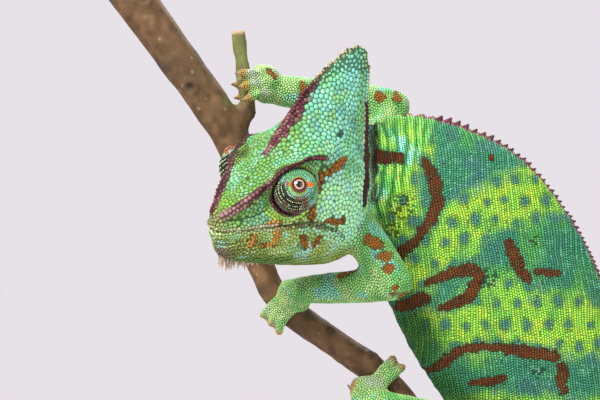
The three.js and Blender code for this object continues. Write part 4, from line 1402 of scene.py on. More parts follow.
@dataclass
class Coat:
    """Scales as solid plates, each cut where it meets its neighbours."""

    bed: Bed
    material: Material
    tile_rows: int = 3
    patch: float = 0.0015
    around: int = 13
    widest: float = 0.78  # the longest way to a plate's corner, as a share of its pitch
    facing: float = 0.12  # how much a neighbour faces a corner that it cuts
    # painted highlight: how much lighter the top point of each plate is
    top_highlight_tone: float = 1.1

    def __post_init__(self) -> None:
        """Finds each scale's neighbours and its own axes."""
        bed = self.bed
        self.near = neighbours(bed.points, self.around)
        lean = np.tile((0.0, 0.0, 1.0), (len(bed.points), 1))
        first = unit(np.cross(bed.normals, lean) + 1e-6)
        self.axes = first, unit(np.cross(bed.normals, first))
        self.random = np.random.default_rng(SEED + 1)

    def outline(self, chosen: Array, cut: PlateCut) -> tuple[Array, Array]:
        """Cuts plates where they meet their neighbours.

        Args:
            chosen: the numbers of the scales.
            cut: how they are cut.

        Returns:
            The angle and the radius of each corner of each plate.
        """
        bed = self.bed
        first, second = self.axes[0][chosen], self.axes[1][chosen]
        gap = bed.points[self.near[chosen]] - bed.points[chosen][:, None]
        flat = np.stack([(gap * first[:, None]).sum(2), (gap * second[:, None]).sum(2)], axis=2)
        length = np.maximum(np.linalg.norm(flat, axis=2), 1e-6)
        own = bed.pitch[chosen][:, None]
        reachable = length * own / (own + bed.pitch[self.near[chosen]])
        turn = self.random.random(len(chosen)) * 2 * np.pi
        angle = turn[:, None] + np.arange(cut.sides) * 2 * np.pi / cut.sides
        spoke = np.stack([np.cos(angle), np.sin(angle)], axis=2)
        facing = np.einsum("nkd,nmd->nkm", spoke, flat / length[..., None])
        limit = np.where(facing > self.facing, reachable[:, None] / np.maximum(facing, self.facing), np.inf)
        radius = np.minimum(limit.min(2), self.widest * own)
        return angle, radius * (1 - cut.gap - cut.groove * np.cos(angle) ** 2)

    def piece(self, name: str, chosen: Array, cut: PlateCut, tiles: dict[int, int], slot: str) -> None:
        """Builds one piece of the coat.

        Args:
            name: its name.
            chosen: the numbers of its scales.
            cut: how they are cut.
            tiles: each node's tile of the unwrap.
            slot: not used.
        """
        bed = self.bed.part(chosen)
        first, second = (axis[chosen][:, None] for axis in self.axes)
        angle, radius = self.outline(chosen, cut)
        cosine, sine = np.cos(angle)[..., None], np.sin(angle)[..., None]
        shade = 1 + 0.06 * self.random.standard_normal((len(chosen), 1))
        rows, tints, flats = [], [], []
        pull = bed.peak[:, None]
        # Each ring's tone paints shade, dark towards the plate's rim.
        for share, rise, tone in cut.rings:
            offset = (radius * share * (1 - (0.35 * pull if share < 0.9 else 0.0)))[..., None]
            height = bed.height[:, None] * (rise if rise < 0 else rise * (1 - 0.3 * pull))
            spoke = cosine * first + sine * second
            rows.append(bed.points[:, None] + offset * spoke + height[..., None] * bed.normals[:, None])
            tints.append(np.repeat((bed.colour * tone * shade)[:, None], cut.sides, axis=1))
            flats.append(np.concatenate([cosine, sine], axis=2) * (offset / bed.pitch[:, None, None]))
        # The top point is painted lighter, as a highlight.
        rows.append((bed.points + bed.normals * (bed.height * (1 + 0.9 * bed.peak))[:, None])[:, None])
        tints.append((bed.colour * self.top_highlight_tone * shade)[:, None])
        flats.append(np.zeros((len(chosen), 1, 2)))
        mesh = self._mesh(name, np.concatenate(rows, axis=1), cut.sides)
        paint_points(mesh, np.clip(np.concatenate(tints, axis=1), 0, 1).reshape(-1, 3))
        self._unwrap(mesh, bed, np.concatenate(flats, axis=1), tiles)
        finish_object(mesh, self.material)

    @staticmethod
    def _mesh(name: str, points: Array, sides: int) -> Mesh:
        """Joins plates of rings and a top in one mesh."""
        count, per, _ = points.shape
        step = np.arange(sides)
        after = (step + 1) % sides
        bands = []
        for low in range(0, per - 1 - sides, sides):
            bands.append(np.stack([low + step, low + after, low + sides + after], axis=1))
            bands.append(np.stack([low + step, low + sides + after, low + sides + step], axis=1))
        last = per - 1 - sides
        bands.append(np.stack([last + step, last + after, np.full(sides, per - 1)], axis=1))
        faces = (np.arange(count)[:, None, None] * per + np.concatenate(bands)).reshape(-1, 3)
        mesh = bpy.data.meshes.new(name)
        mesh.vertices.add(count * per)
        place_points(mesh, points.reshape(-1, 3))
        mesh.loops.add(faces.size)
        mesh.loops.foreach_set("vertex_index", faces.astype(np.int32).ravel())
        mesh.polygons.add(len(faces))
        mesh.polygons.foreach_set("loop_start", (np.arange(len(faces)) * 3).astype(np.int32))
        mesh.update(calc_edges=True)
        return mesh

    def _unwrap(self, mesh: Mesh, bed: Bed, spread: Array, tiles: dict[int, int]) -> None:
        """Gives each scale a small patch at its root's place on an unwrap of the animal.

        Args:
            mesh: the piece's mesh.
            bed: its scales.
            spread: each point's place inside its own scale.
            tiles: each node's tile of the unwrap.
        """
        place = np.zeros((len(bed.points), 2))
        for node, tile in tiles.items():
            inside = bed.node == node
            if inside.any():
                corner = np.array([tile % self.tile_rows, tile // self.tile_rows])
                place[inside] = (corner + 0.04 + 0.92 * self._unroll(bed.points[inside])) / self.tile_rows
        patch = (place[:, None] + 2 * self.patch * spread).reshape(-1, 2)
        corners = read(mesh.loops, "vertex_index", 1, np.int32)
        mesh.uv_layers.new(name="OFBake").data.foreach_set("uv", patch[corners].astype(np.float32).ravel())

    @staticmethod
    def _unroll(points: Array) -> Array:
        """Returns the points' places on a roll round their own long axis, each from 0 to 1."""
        middle = points.mean(0)
        _, _, axes = np.linalg.svd(points - middle, full_matrices=False)
        local = (points - middle) @ axes.T
        turn = (np.arctan2(local[:, 2], local[:, 1]) / (2 * np.pi)) % 1.0
        span = max(np.ptp(local[:, 0]), 1e-6)
        return np.stack([(local[:, 0] - local[:, 0].min()) / span, turn], axis=1)


class ScaleCoat:
    """All the animal's scales, divided in pieces."""

    # The pieces by how their scales are cut: each piece's name, and how the names of its solids start.
    GROUPS = (
        (PlateCut(8, 0.05, rings=FINE_RINGS), {"head": "head", "jaw": "lower_jaw"}),
        (PlateCut(7, 0.03, 0.18), {"neck": "neck", "chest": "chest", "belly": "belly"}),
        (PlateCut(7), {
            "arms": ("upper_arm", "forearm"), "hands": "hand", "legs": ("thigh", "shank"), "feet": "foot",
            "tail": "tail",
        }),
    )
    # Spots where single scales are black, as places in x and z on the flank, or on the head, and their radius.
    FLANK_SPECKS = (((60.6, -25.4), 4.6), ((77, -55.5), 3.0), ((33.5, -2), 5.5), ((76, -13), 2.4), ((30, -10), 4.0))
    HEAD_SPECKS = (((8.0, 7.4, 37.5), 2.4), ((8.4, 9.2, 32.0), 2.2), ((33.5, 1.0, 18.0), 1.5))

    def __init__(self, skin: Skin, markings: Markings) -> None:
        """Spreads the scales and colours them."""
        pitch, height = (skin.weights @ TRAITS[:, 1:]).T
        scatter = Scatter(skin, self._face(skin, pitch.copy()))
        scatter.line_up(ROWS + tuple(Row(crease, (0.0,), 0.6, 0.34, ghost=True) for crease in CREASES))
        roots, pitch, face, shares = scatter.roots()
        self.weights = scatter.read(skin.weights, face, shares)
        height = scatter.read(height, face, shares)
        peak = np.zeros(len(roots))
        node = skin.node[scatter.faces[face, shares.argmax(1)]]
        for i, row in enumerate(scatter.kinds):
            height[i], peak[i] = row.height, row.peak
            if row.ghost:
                node[i] = -1
        normals = unit(scatter.read(scatter.normals, face, shares))
        colour = self._speckle(roots, markings.colour(roots, self.weights))
        lifted = roots + self._relief(roots)[:, None] * normals
        self.bed = Bed(lifted, normals, pitch, height, colour, node, peak)
        LOG.info("scales: %d, of which %d in rows", len(roots), len(scatter.kinds))

    @staticmethod
    def _face(skin: Skin, pitch: Array) -> Array:
        """Returns the distances between scales fitted to the face: fine at eye, snout and lips."""
        near = np.flatnonzero(skin.share(Region.HEAD, Region.JAW) > 0.3)
        points = skin.sheet.points[near]
        local = HEAD.local(points)
        x, _, z = local.T
        size = pitch[near] * (1 - 0.35 * smooth(11.5, 9.0, away(local, ORBIT_CENTRE)))
        size = size * (1 - 0.16 * smooth(22, 30, x) - 0.14 * smooth(37, 45, x))
        size = np.minimum(size, 1.15 + 0.12 * reach(local, MOUTH)[0])
        size = size * (1 - 0.25 * smooth(-4.0, -8.0, z)) * (1 + 0.16 * (noise(points, 2.0, 75) - 0.5))
        pitch[near] = np.clip(size, 0.8, None)
        return pitch

    def _relief(self, roots: Array) -> Array:
        """Returns how far fine folds lift each scale."""
        x, _, z = HEAD.local(roots).T
        throat = smooth(-3.5, -7.5, z) * self.weights[:, Region.JAW.value]
        pleats = 0.16 * throat * np.sin(2 * np.pi * (z + 0.30 * x) / 1.7)
        return 0.1 * self.weights[:, Region.TRUNK.value] * wrinkles(roots) + pleats

    def _speckle(self, roots: Array, colour: Array) -> Array:
        """Varies the scales' colours one by one, and blackens single ones where the skin is speckled."""
        random = np.random.default_rng(SEED + 2)
        head = self.weights[:, Region.HEAD.value]
        trunk = self.weights[:, Region.TRUNK.value] + self.weights[:, Region.NECK.value]
        colour = colour * (1 + 0.07 * random.standard_normal(len(roots)))[:, None]
        colour = colour * (1 + random.standard_normal((len(roots), 1)) * (0.06, 0.0, -0.08))
        stray = random.random(len(roots))
        green = smooth(1.5, 2.5, colour[:, 1] / np.maximum(colour[:, 0], 0.01))
        colour = layers(
            colour, (Hue.SKY, 0.25 * (stray < 0.09) * head * green), (Hue.CREAM, 0.2 * (stray > 0.96) * head * green),
            (Hue.MOSS, 0.3 * (stray < 0.10) * trunk),
        )
        black = np.zeros(len(roots))
        for share, places, specks in (
            (trunk, roots[:, [0, 2]], self.FLANK_SPECKS),
            (head, HEAD.local(roots, folded=False), self.HEAD_SPECKS),
        ):
            for spot, size in specks:
                black = np.maximum(black, share * smooth(size, 0.6 * size, away(places, spot)))
        return mix(colour, Hue.NIGHT, 0.9 * black * (random.random(len(roots)) < 0.42))

    def build(self) -> None:
        """Builds every piece of the coat."""
        coat = Coat(self.bed, HideFinish("scale_hide", 0.5, 5200.0, 0.00003).make())
        for cut, pieces in self.GROUPS:
            for name, starts in pieces.items():
                numbers = [number for number, node in enumerate(NODES) if node.startswith(starts)]
                chosen = np.flatnonzero(np.isin(self.bed.node, numbers))
                tiles = {number: tile for tile, number in enumerate(numbers)}
                parts = math.ceil((2 * len(cut.rings) - 1) * cut.sides * len(chosen) / PIECE_LIMIT)
                order = chosen[np.argsort(self.bed.points[chosen, 1], kind="stable")]
                for i, some in enumerate(np.array_split(order, parts)):
                    ending = f"_{i + 1}" if parts > 1 else ""
                    coat.piece("scales_" + name + ending, some, cut, tiles, "throat" if name == "jaw" else "skin")


# --- cones, teeth of the crest and claws
@dataclass
class Cone:
    """A small horny cone that leans and bends."""

    root: Array
    tip: Array
    radius: float
    flat: float = 1.0
    blunt: float = 0.12
    bend: Array = field(default_factory=lambda: np.zeros(3))


@dataclass
class Cones:
    """A piece made of many cones, each with its own colour."""

    name: str
    sides: int = 8
    bm: BMesh = field(default_factory=bmesh.new)
    tints: list[Array] = field(default_factory=list)

    def add(self, cone: Cone, across: Array, root: Array, tip: Array) -> None:
        """Adds a cone.

        Args:
            cone: its shape.
            across: the direction in which it is flattened.
            root: its colour at the root.
            tip: its colour at the tip.
        """
        span = cone.tip - cone.root
        axis, side = Vector(span).normalized(), Vector(across)
        side = (side - axis * side.dot(axis)).normalized()
        basis = pose(side, axis.cross(side), axis, cone.root)
        ring = bmesh.ops.create_circle(self.bm, cap_ends=True, segments=self.sides, radius=1.0)["verts"]
        edges = list({edge for vert in ring for edge in vert.link_edges if edge.other_vert(vert) in ring})
        made, previous, length = list(ring), 1.0, Vector(span).length
        for vert in ring:
            vert.co = Vector((vert.co.x * cone.radius * cone.flat, vert.co.y * cone.radius, 0.0))
        for rise, width in ((0.35, 0.86), (0.7, 0.52), (0.93, 0.24), (1.0, cone.blunt)):
            out = bmesh.ops.extrude_edge_only(self.bm, edges=edges)["geom"]
            ring = [item for item in out if isinstance(item, bmesh.types.BMVert)]
            edges = [item for item in out if isinstance(item, bmesh.types.BMEdge)]
            for vert in ring:
                vert.co = Vector((vert.co.x * width / previous, vert.co.y * width / previous, rise * length))
            previous = width
            made += ring
        bmesh.ops.edgeloop_fill(self.bm, edges=edges)
        for vert in made:
            vert.co = basis @ vert.co + Vector(cone.bend) * (vert.co.z / length) ** 2
            share = float(np.clip((np.array(vert.co) - cone.root) @ span / (span @ span), 0, 1))
            self.tints.append(np.array(root) * (1 - share) + np.array(tip) * share)

    def finish(self, finish: "HideFinish", slot: str) -> None:
        """Makes the piece."""
        mesh = mesh_from(self.bm, self.name)
        paint_points(mesh, np.array(self.tints))
        finish_object(mesh, finish.make())


@dataclass
class Ornaments:
    """The crest along the back, the beard under the chin, and the claws."""

    spikes: list[Spike]
    skin: Skin
    crest_step: float = 1.36
    beard_count: int = 13
    claw: float = 3.0

    CREST = (
        (31, 31, 29), (42.8, 30.8, 27.7), (59.4, 31.4, 22.8), (72.5, 30.6, 14.8), (82.4, 30.7, 4.6),
        (90.6, 30.4, -7.6), (96, 29.8, -18.8), (98.3, 29.8, -29.5), (99.5, 30, -44),
    )
    CREST_SHARES = (0, 0.08, 0.14, 0.35, 0.6, 1)
    CREST_SIZES = (0.8, 0.95, 1.15, 1.0, 0.75, 0.55)

    def __post_init__(self) -> None:
        """Finds the cones at the toes' ends and makes a search tree of the skin."""
        sheet = self.skin.sheet
        self.toes = [spike for spike in self.spikes if spike.node.startswith(("hand_", "foot_"))]
        self.random = np.random.default_rng(SEED + 3)
        self.tree = BVHTree.FromPolygons(sheet.points.tolist(), sheet.triangles().tolist())

    def _land(self, point: Array) -> Array:
        """Returns the skin's nearest point."""
        return np.array(self.tree.find_nearest(Vector(point))[0])

    def crest(self) -> None:
        """Builds the back's crest: swept dark teeth, with pale knobs between them and along their feet."""
        line = flow(*self.CREST, count=60)
        length = travelled(line)[-1]
        cones = Cones("dorsal_crest")
        maroon, mauve = np.array(Hue.MAROON), np.array(Hue.MAUVE)
        at, number = 0.4, 0
        while at < length:
            share = at / length
            spot, ahead = along_line(line, at), along_line(line, at + 1)
            back = unit(ahead - spot)
            rise = np.array((-back[2], 0.0, back[0]))
            side = np.cross(rise, back)
            size = np.interp(share, self.CREST_SHARES, self.CREST_SIZES) * (1 + 0.1 * self.random.standard_normal())
            tooth = number % 2 == 0
            height = size * (1.8 if tooth and share > 0.12 else 0.8)
            tint = 1 + 0.14 * self.random.standard_normal()
            root = self._land(spot) - 0.6 * rise
            tip = root + (height + 0.6) * unit(rise + (0.3 if tooth else 0.15) * back)
            light = np.array(Hue.PLUM) if tooth and share > 0.12 else mauve
            cone = Cone(root, tip, size * (1.3 if tooth else 1.0), 0.75, 0.32, 0.12 * height * back)
            cones.add(cone, side, maroon * tint, light * tint)
            for across in (-1, 1):
                foot = self._land(spot + 0.95 * size * across * side + 0.5 * back)
                knob = Cone(foot - 0.4 * rise, foot + 0.55 * size * rise, 0.62 * size, 0.9, 0.5)
                cones.add(knob, side, 0.4 * mauve * tint, 0.8 * mauve * tint)
            at += size * self.crest_step
            number += 1
        cones.finish(HideFinish("crest_horn", 0.45, 3200.0, 0.00006), "skin")

    def beard(self) -> None:
        """Builds the beard of small cones under the chin, in a middle row with shorter ones beside it."""
        cones = Cones("gular_beard")
        droop = unit(HEAD.direction((0, 0, -1)) + 0.6 * HEAD.direction((-1, 0, 0)))
        for row in (0, 1, -1, 2, -2):
            count = self.beard_count - 2 * abs(row)
            for i in range(count):
                share = (i + 0.5 + 0.25 * self.random.standard_normal()) / count
                x = 45.6 - (20.5 if row == 0 else 17) * share
                spot = self._land(HEAD.world((x, row * (0.75 + 0.5 * share), -13.5)))
                forward = HEAD.direction((0.30 - 0.75 * share, 0.10 * row, -1))
                length = float(np.interp(share, (0, 0.2, 0.55, 1), (2.7, 3.2, 2.6, 0.9)))
                length *= (1.0, 0.72, 0.42)[abs(row)] * (1 + 0.16 * self.random.standard_normal())
                hue = np.array(Hue.MAUVE) * 0.55 + np.array(Hue.CREAM) * 0.5
                hue = hue * (1 + 0.14 * self.random.standard_normal())
                ends = spot - 0.6 * forward, spot + length * forward
                cone = Cone(*ends, (0.66, 0.55, 0.45)[abs(row)], 0.85, 0.15, 0.25 * length * droop)
                cones.add(cone, HEAD.direction((0, 1, 0)), hue * 0.5, hue * 1.15)
        cones.finish(HideFinish("beard_horn", 0.5, 3200.0, 0.00005), "throat")

    def claws(self) -> None:
        """Builds the claws at the toes' ends, curved towards the stem."""
        cones = Cones("claws")
        for spike in self.toes:
            axis = spike.axis
            low, high = PLACE.box(spike.node)
            inward = (low + high) / 2 - spike.tip
            inward = unit(inward - (inward @ axis) * axis)
            cone = Cone(spike.tip - (self.claw + 0.9) * axis, spike.tip - 1.8 * axis, 0.9, 0.8, 0.14, 0.4 * inward)
            cones.add(cone, inward, (0.40, 0.23, 0.12), (0.10, 0.055, 0.035))
        cones.finish(HideFinish("claw_horn", 0.32, 2600.0, 0.00004), "skin")

    def claw_roots(self) -> Array:
        """Returns where the claws leave the toes."""
        return np.array([spike.tip - self.claw * spike.axis for spike in self.toes])

# --- eyes
@dataclass
class Eye:
    """One eye: the scaly dome that turns with the gaze, and the ball in its small opening."""

    side: str
    centre: tuple[float, float, float]
    gaze: tuple[float, float, float]
    dome: float = 6.84
    long: float = 1.1
    ball: float = 3.2
    ball_out: float = 5.2
    pupil: float = 1.04
    iris: float = 1.52
    pitch: float = 0.74
    first_ring: float = 0.36
    last_ring: float = 1.95

    def __post_init__(self) -> None:
        """Works out the eye's axes in the model's frame."""
        self.middle = HEAD.world(self.centre)
        self.axis = HEAD.direction(self.gaze)
        up = HEAD.direction((0, 0, 1))
        self.up = unit(up - (up @ self.axis) * self.axis)
        front = np.cross(self.up, self.axis)
        self.front = front if front @ HEAD.direction((1, 0, 0)) > 0 else -front

    def profile(self, angle: Array) -> Array:
        """Returns the dome's radius at an angle from the gaze, with a raised lid and soft rings."""
        base = 1 / np.hypot(np.sin(angle) / self.dome, np.cos(angle) / (self.dome * self.long))
        lid = 0.6 * bell(angle, 0.275, 0.06) - 0.16 * bell(angle, 0.42, 0.05)
        return base + lid + 0.05 * np.sin(np.pi * angle * self.dome / self.pitch) * smooth(0.5, 0.65, angle)

    @staticmethod
    def _mottled(angle: Array, turn: Array, ragged: Array | float = 0.0) -> Array:
        """Returns how far points are in the dark mottled lower front of the dome."""
        return smooth(-0.25, 0.6, np.cos(turn + 1.0) + ragged) * smooth(0.42, 0.7, angle)

    def _colour(self, angle: Array, turn: Array, points: Array, gaps: bool = False) -> Array:
        """Returns the dome's colours.

        Args:
            angle: how far each point is from the gaze.
            turn: its direction round the gaze: 0 forward, a quarter turn up.
            points: the points in space.
            gaps: whether these are the gaps between the beads.

        Returns:
            Linear colours.
        """
        fine, tiny = noise(points, 1.6, 81), noise(points, 0.6, 83)
        bright = 0.24 * np.cos(np.pi * (angle - self.first_ring) * self.dome / self.pitch)
        ground = layers(Hue.MINT, (Hue.SKY, 1, 0.4, 0.7, noise(points, 2.2, 82)), (Hue.LEAF, 0.7, 0.45, 0.7, fine))
        bead = layers(
            0.5 * mix(Hue.LEAF, Hue.MINT, fine), ((0.68, 0.76, 0.46), 1, 0.42, 0.6, tiny + bright),
            ((0.015, 0.03, 0.012), 0.95, 0.45, 0.6, fine - bright),
        )
        # Painted shade: between the beads the dome is darkened, and it is black in the mottled front.
        ground, bead = (0.25 * ground, Hue.NIGHT) if gaps else (ground, bead)
        ragged, below = 0.05 * (fine - 0.5), smooth(0.2, -0.4, np.sin(turn))
        lid = mix((0.24, 0.04, 0.015), (0.02, 0.004, 0.004), smooth(0.29, 0.26, angle))

        def streak(way: float) -> Array:
            """Returns each point's distance from the line that leaves the pupil one way."""
            beside = np.abs(np.sin(turn - way)) * np.sin(np.minimum(angle, np.pi / 2))
            return np.where(np.cos(turn - way) > 0, beside, 1.0)

        ground = layers(
            ground, (bead, self._mottled(angle, turn, 0.35 * (fine - 0.5))),
            ((0.62, 0.13, 0.012), smooth(0.12, 0.06, streak(2.86) + ragged), 0.84, 0.70, angle),
            ((0.28, 0.03, 0.02), smooth(0.11, 0.06, streak(0.0) + ragged), 0.58, 0.46, angle),
        )
        bars = (-2.15, 0.5, 1.3, Hue.RUST), (-1.6, 0.42, 0.8, Hue.RUST), (-1.0, 0.9, 1.3, Hue.MAROON)
        for way, near, far, hue in bars:
            span = 0.8 * smooth(near, near + 0.08, angle) * smooth(far, far - 0.12, angle)
            ground = layers(ground, (hue, span, 0.12, 0.04, streak(way) + 3 * ragged))
        return layers(
            ground, (Hue.YELLOW, 0.6 * (0.3 + 0.7 * below), 0.07, 0.03, np.abs(angle - 0.40)),
            (lid, 1 - 0.55 * below * smooth(0.27, 0.30, angle), 0.35, 0.32, angle),
            (Hue.MAROON, 0.6 * below, 1.3, 1.45, angle), (Hue.OLIVE, 0.6 * (1 - below), 1.2, 1.35, angle),
        )

    def build(self) -> None:
        """Builds dome, scales and ball."""
        self._dome()
        self._scales()
        self._ball()

    def _dome(self) -> None:
        """Builds the dome by spinning its outline round the gaze."""
        angles = np.concatenate([np.linspace(0.212, 0.5, 14), np.linspace(0.53, 2.75, 52)])
        outline = [(self.profile(a) * math.sin(a), self.profile(a) * math.cos(a)) for a in angles]
        bm = lathe([(1.58, 6.9), (1.61, 7.4), *outline], 72)
        bmesh.ops.transform(bm, matrix=pose(self.front, self.up, self.axis, self.middle), verts=bm.verts)
        points = np.array([vert.co for vert in bm.verts])
        spoke = unit(points - self.middle)
        angle = np.arccos(np.clip(spoke @ self.axis, -1, 1))
        colours = self._colour(angle, np.arctan2(spoke @ self.up, spoke @ self.front), points, gaps=True)
        mesh = mesh_from(bm, "turret_" + self.side)
        paint_points(mesh, colours)
        finish = HideFinish("turret_hide_" + self.side, 0.85, 5200.0, 0.00005)
        finish_object(mesh, finish.make(), "eye_turret_" + self.side)

    def _scales(self) -> None:
        """Builds the dome's beads in rings round the opening."""
        random = np.random.default_rng(SEED + 5)
        spots = []
        angle, ring = self.first_ring, 0
        while angle < self.last_ring:
            count = int(round(2 * np.pi * self.dome * math.sin(angle) / (0.75 * self.pitch)))
            for k in range(count):
                turn = 2 * np.pi * (k + 0.5 * (ring % 2) + 0.16 * random.standard_normal()) / count
                spots.append((angle + 0.007 * random.standard_normal(), turn))
            angle += self.pitch / self.dome
            ring += 1
        angles, turns = np.array(spots).T
        across = np.cos(turns)[:, None] * self.front + np.sin(turns)[:, None] * self.up
        normals = np.cos(angles)[:, None] * self.axis + np.sin(angles)[:, None] * across
        points = self.middle + self.profile(angles)[:, None] * normals
        count = len(points)
        colour = self._colour(angles, turns, points) * (1 + 0.12 * random.standard_normal(count))[:, None]
        height = np.full(count, 0.15)
        pitch = self.pitch * (0.6 - 0.16 * self._mottled(angles, turns))
        bed = Bed(points, normals, pitch, height, colour, np.zeros(count, int), 1.3 * height)
        coat = Coat(bed, HideFinish("turret_scales_" + self.side, 0.6, 5200.0, 0.00002).make())
        coat.piece("scales_turret_" + self.side, np.arange(count), PlateCut(7, 0.2), {0: 4}, "skin")

    def _ball(self) -> None:
        """Builds the eyeball with its clear bulge in front."""
        centre = self.middle + self.axis * self.ball_out
        bm = bmesh.new()
        bmesh.ops.create_uvsphere(bm, u_segments=48, v_segments=32, radius=self.ball)
        for vert in bm.verts:
            vert.co *= 1 + 0.04 * max(0.0, vert.co.z / self.ball) ** 10
        bmesh.ops.transform(bm, matrix=pose(self.front, self.up, self.axis, centre), verts=bm.verts)
        finish = EyeFinish("eye_" + self.side, centre, self.axis, self.pupil, self.iris)
        finish_object(mesh_from(bm, "ball_" + self.side), finish.make(), "eyeball_" + self.side)


# --- the perch
@dataclass
class Perch:
    """The cut branch and its twig, with bark relief and paler cut ends."""

    voxel: float = 0.95
    KNOTS = ((-52.0, 38.6, 67.5), (-37.0, 39.4, 37.5), (-12.5, 41.0, -14.0), (24.0, 30.5, -51.0), (52.0, 33.0, -102.0))
    # The cut ends: node, whether it is the upper end, how deep its rim is in millimetres, and the way it faces.
    CUTS = (
        ("perch_branch", True, 9.0, (-0.59, 0.0, 0.81)),
        ("perch_branch", False, 0.6, (0.0, 0.0, -1.0)),
        ("perch_twig", True, 0.6, (0.0, 0.0, 1.0)),
    )

    def build(self) -> None:
        """Builds the perch over the two solids."""
        nodes = ("perch_branch", "perch_twig")
        sheet = Sheet(remesh(Flesh(sharp_cone=0.0, sharp_crest=0.0).gather(nodes), "perch_bark", self.voxel))
        ends = self._ends(sheet.points)
        sheet.polish(26, 0.75 * (1 - 0.9 * ends))
        sheet.store()
        points, normals = sheet.points, sheet.normals()
        along = points @ np.array([0.46, 0.0, -0.89])
        across = np.stack([points @ np.array([0.89, 0.0, 0.46]), points[:, 1], 0.16 * along], axis=1)
        knots = np.min([away(points, knot) for knot in self.KNOTS], axis=0)
        lift = 0.8 * (noise(points, 7.5, 91) - 0.5) + 0.4 * (noise(across, 1.5, 92) - 0.5) - FLESH_GROWTH
        lift += (1.0 * bell(knots, 2.2, 1.1) - 0.9 * bell(knots, 0, 1.3)) * (1 - ends)
        paint_points(sheet.mesh, self._colour(points, knots, ends))
        place_points(sheet.mesh, points + (lift * (1 - 0.8 * ends))[:, None] * normals)
        sheet.mesh.update()
        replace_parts(finish_object(sheet.mesh, BarkFinish("bark").make()), *nodes)

    def _ends(self, points: Array) -> Array:
        """Returns how near each point is to one of the perch's cut ends."""
        ends = np.zeros(len(points))
        for node, top, depth, axis in self.CUTS:
            own = PLACE.from_row(np.array([vert.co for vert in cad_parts[node].data.vertices]))
            level = own[:, 2].max() if top else own[:, 2].min()
            middle = own[np.abs(own[:, 2] - level) < depth].mean(0)
            beyond = smooth(-1.0, -0.3, (points - middle) @ np.array(axis))
            ends = np.maximum(ends, (away(points, middle) < 10) * beyond)
        return ends

    @staticmethod
    def _colour(points: Array, knots: Array, ends: Array) -> Array:
        """Returns the bark's colours at points with their distances from the knots and nearness to the cut ends."""
        x, _, z = points.T
        return layers(
            (0.074, 0.039, 0.016), ((0.115, 0.064, 0.028), 1, 0.3, 0.7, noise(points, 2.4, 94)),
            ((0.08, 0.048, 0.021), 0.6, 0.5, 0.72, noise(points, 11.0, 93)), ((0.05, 0.032, 0.018), 1, 2.6, 1.0, knots),
            ((0.13, 0.15, 0.045), 0.8 * smooth(30, 36, z), -26, -24, x), ((0.50, 0.36, 0.20), 0.9 * ends),
        )


# --- the stand
@dataclass
class Stand:
    """The display stand: a bevelled wooden plate and a steel rod with a collar."""

    corner: float = 14.0
    edge: float = 2.2
    groove: float = 5.0
    rod: float = 4.0
    collar: float = 10.0
    collar_height: float = 5.0

    def build(self) -> None:
        """Builds both pieces, shaded smoothly but for their sharp edges."""
        wood = WoodFinish("stained_wood", (0.030, 0.016, 0.010), (0.085, 0.046, 0.026))
        for bm, name, finish, slot, node in (
            (self._plate(), "stand_plate", wood, "wood", "stand_base"),
            (self._rod(), "stand_post", SteelFinish("black_steel"), "steel", "stand_rod"),
        ):
            piece = finish_object(mesh_from(bm, name), finish.make(), node)
            piece.data.set_sharp_from_angle(angle=math.radians(35))

    def _plate(self) -> BMesh:
        """Returns the plate with round corners, a soft edge and a fine groove round its top."""
        low, high = PLACE.box("stand_base")
        bm = bmesh.new()
        bmesh.ops.create_cube(bm, size=1.0)
        bmesh.ops.scale(bm, vec=tuple(high - low), verts=bm.verts)
        bmesh.ops.translate(bm, vec=tuple((low + high) / 2), verts=bm.verts)

        def bevel(width: float, segments: int, level: bool) -> None:
            """Rounds the upright edges, or else the sharp ones at the level of top and underside."""
            edges = []
            for edge in bm.edges:
                ends = [vert.co.z for vert in edge.verts]
                outer = min(abs(ends[0] - low[2]), abs(ends[0] - high[2])) < 0.05
                if level and abs(ends[0] - ends[1]) < 1e-4 and outer and edge.calc_face_angle(0) > math.radians(80):
                    edges.append(edge)
                elif not level and abs(ends[0] - ends[1]) > 1:
                    edges.append(edge)
            settings = {"offset_type": "OFFSET", "affect": "EDGES", "profile": 0.5, "clamp_overlap": True}
            bmesh.ops.bevel(bm, geom=edges, offset=width, segments=segments, material=-1, **settings)

        bevel(self.corner, 14, False)
        top = max(bm.faces, key=lambda face: face.calc_center_median().z)
        for width, depth in ((self.groove, 0.0), (0.5, -0.5), (0.5, 0.5)):
            bmesh.ops.inset_region(bm, faces=[top], thickness=width, depth=depth, use_even_offset=True)
        bevel(self.edge, 5, True)
        return bm

    def _rod(self) -> BMesh:
        """Returns the rod and its collar, made by spinning their outline."""
        low, high = PLACE.box("stand_rod")
        foot, top = low[2], high[2]
        shoulder, rod, collar = foot + self.collar_height, self.rod, self.collar
        outline = (
            (0, foot), (collar - 0.4, foot), (collar, foot + 0.4), (collar, shoulder - 1.2),
            (collar - 0.35, shoulder - 0.45), (collar - 1.2, shoulder), (rod + 0.8, shoulder),
            (rod + 0.25, shoulder + 0.25), (rod, shoulder + 0.9), (rod, top - 0.5), (rod - 0.5, top), (0, top),
        )
        bm = lathe(outline, 56)
        bmesh.ops.translate(bm, vec=(*(low + high)[:2] / 2, 0.0), verts=bm.verts)
        return bm


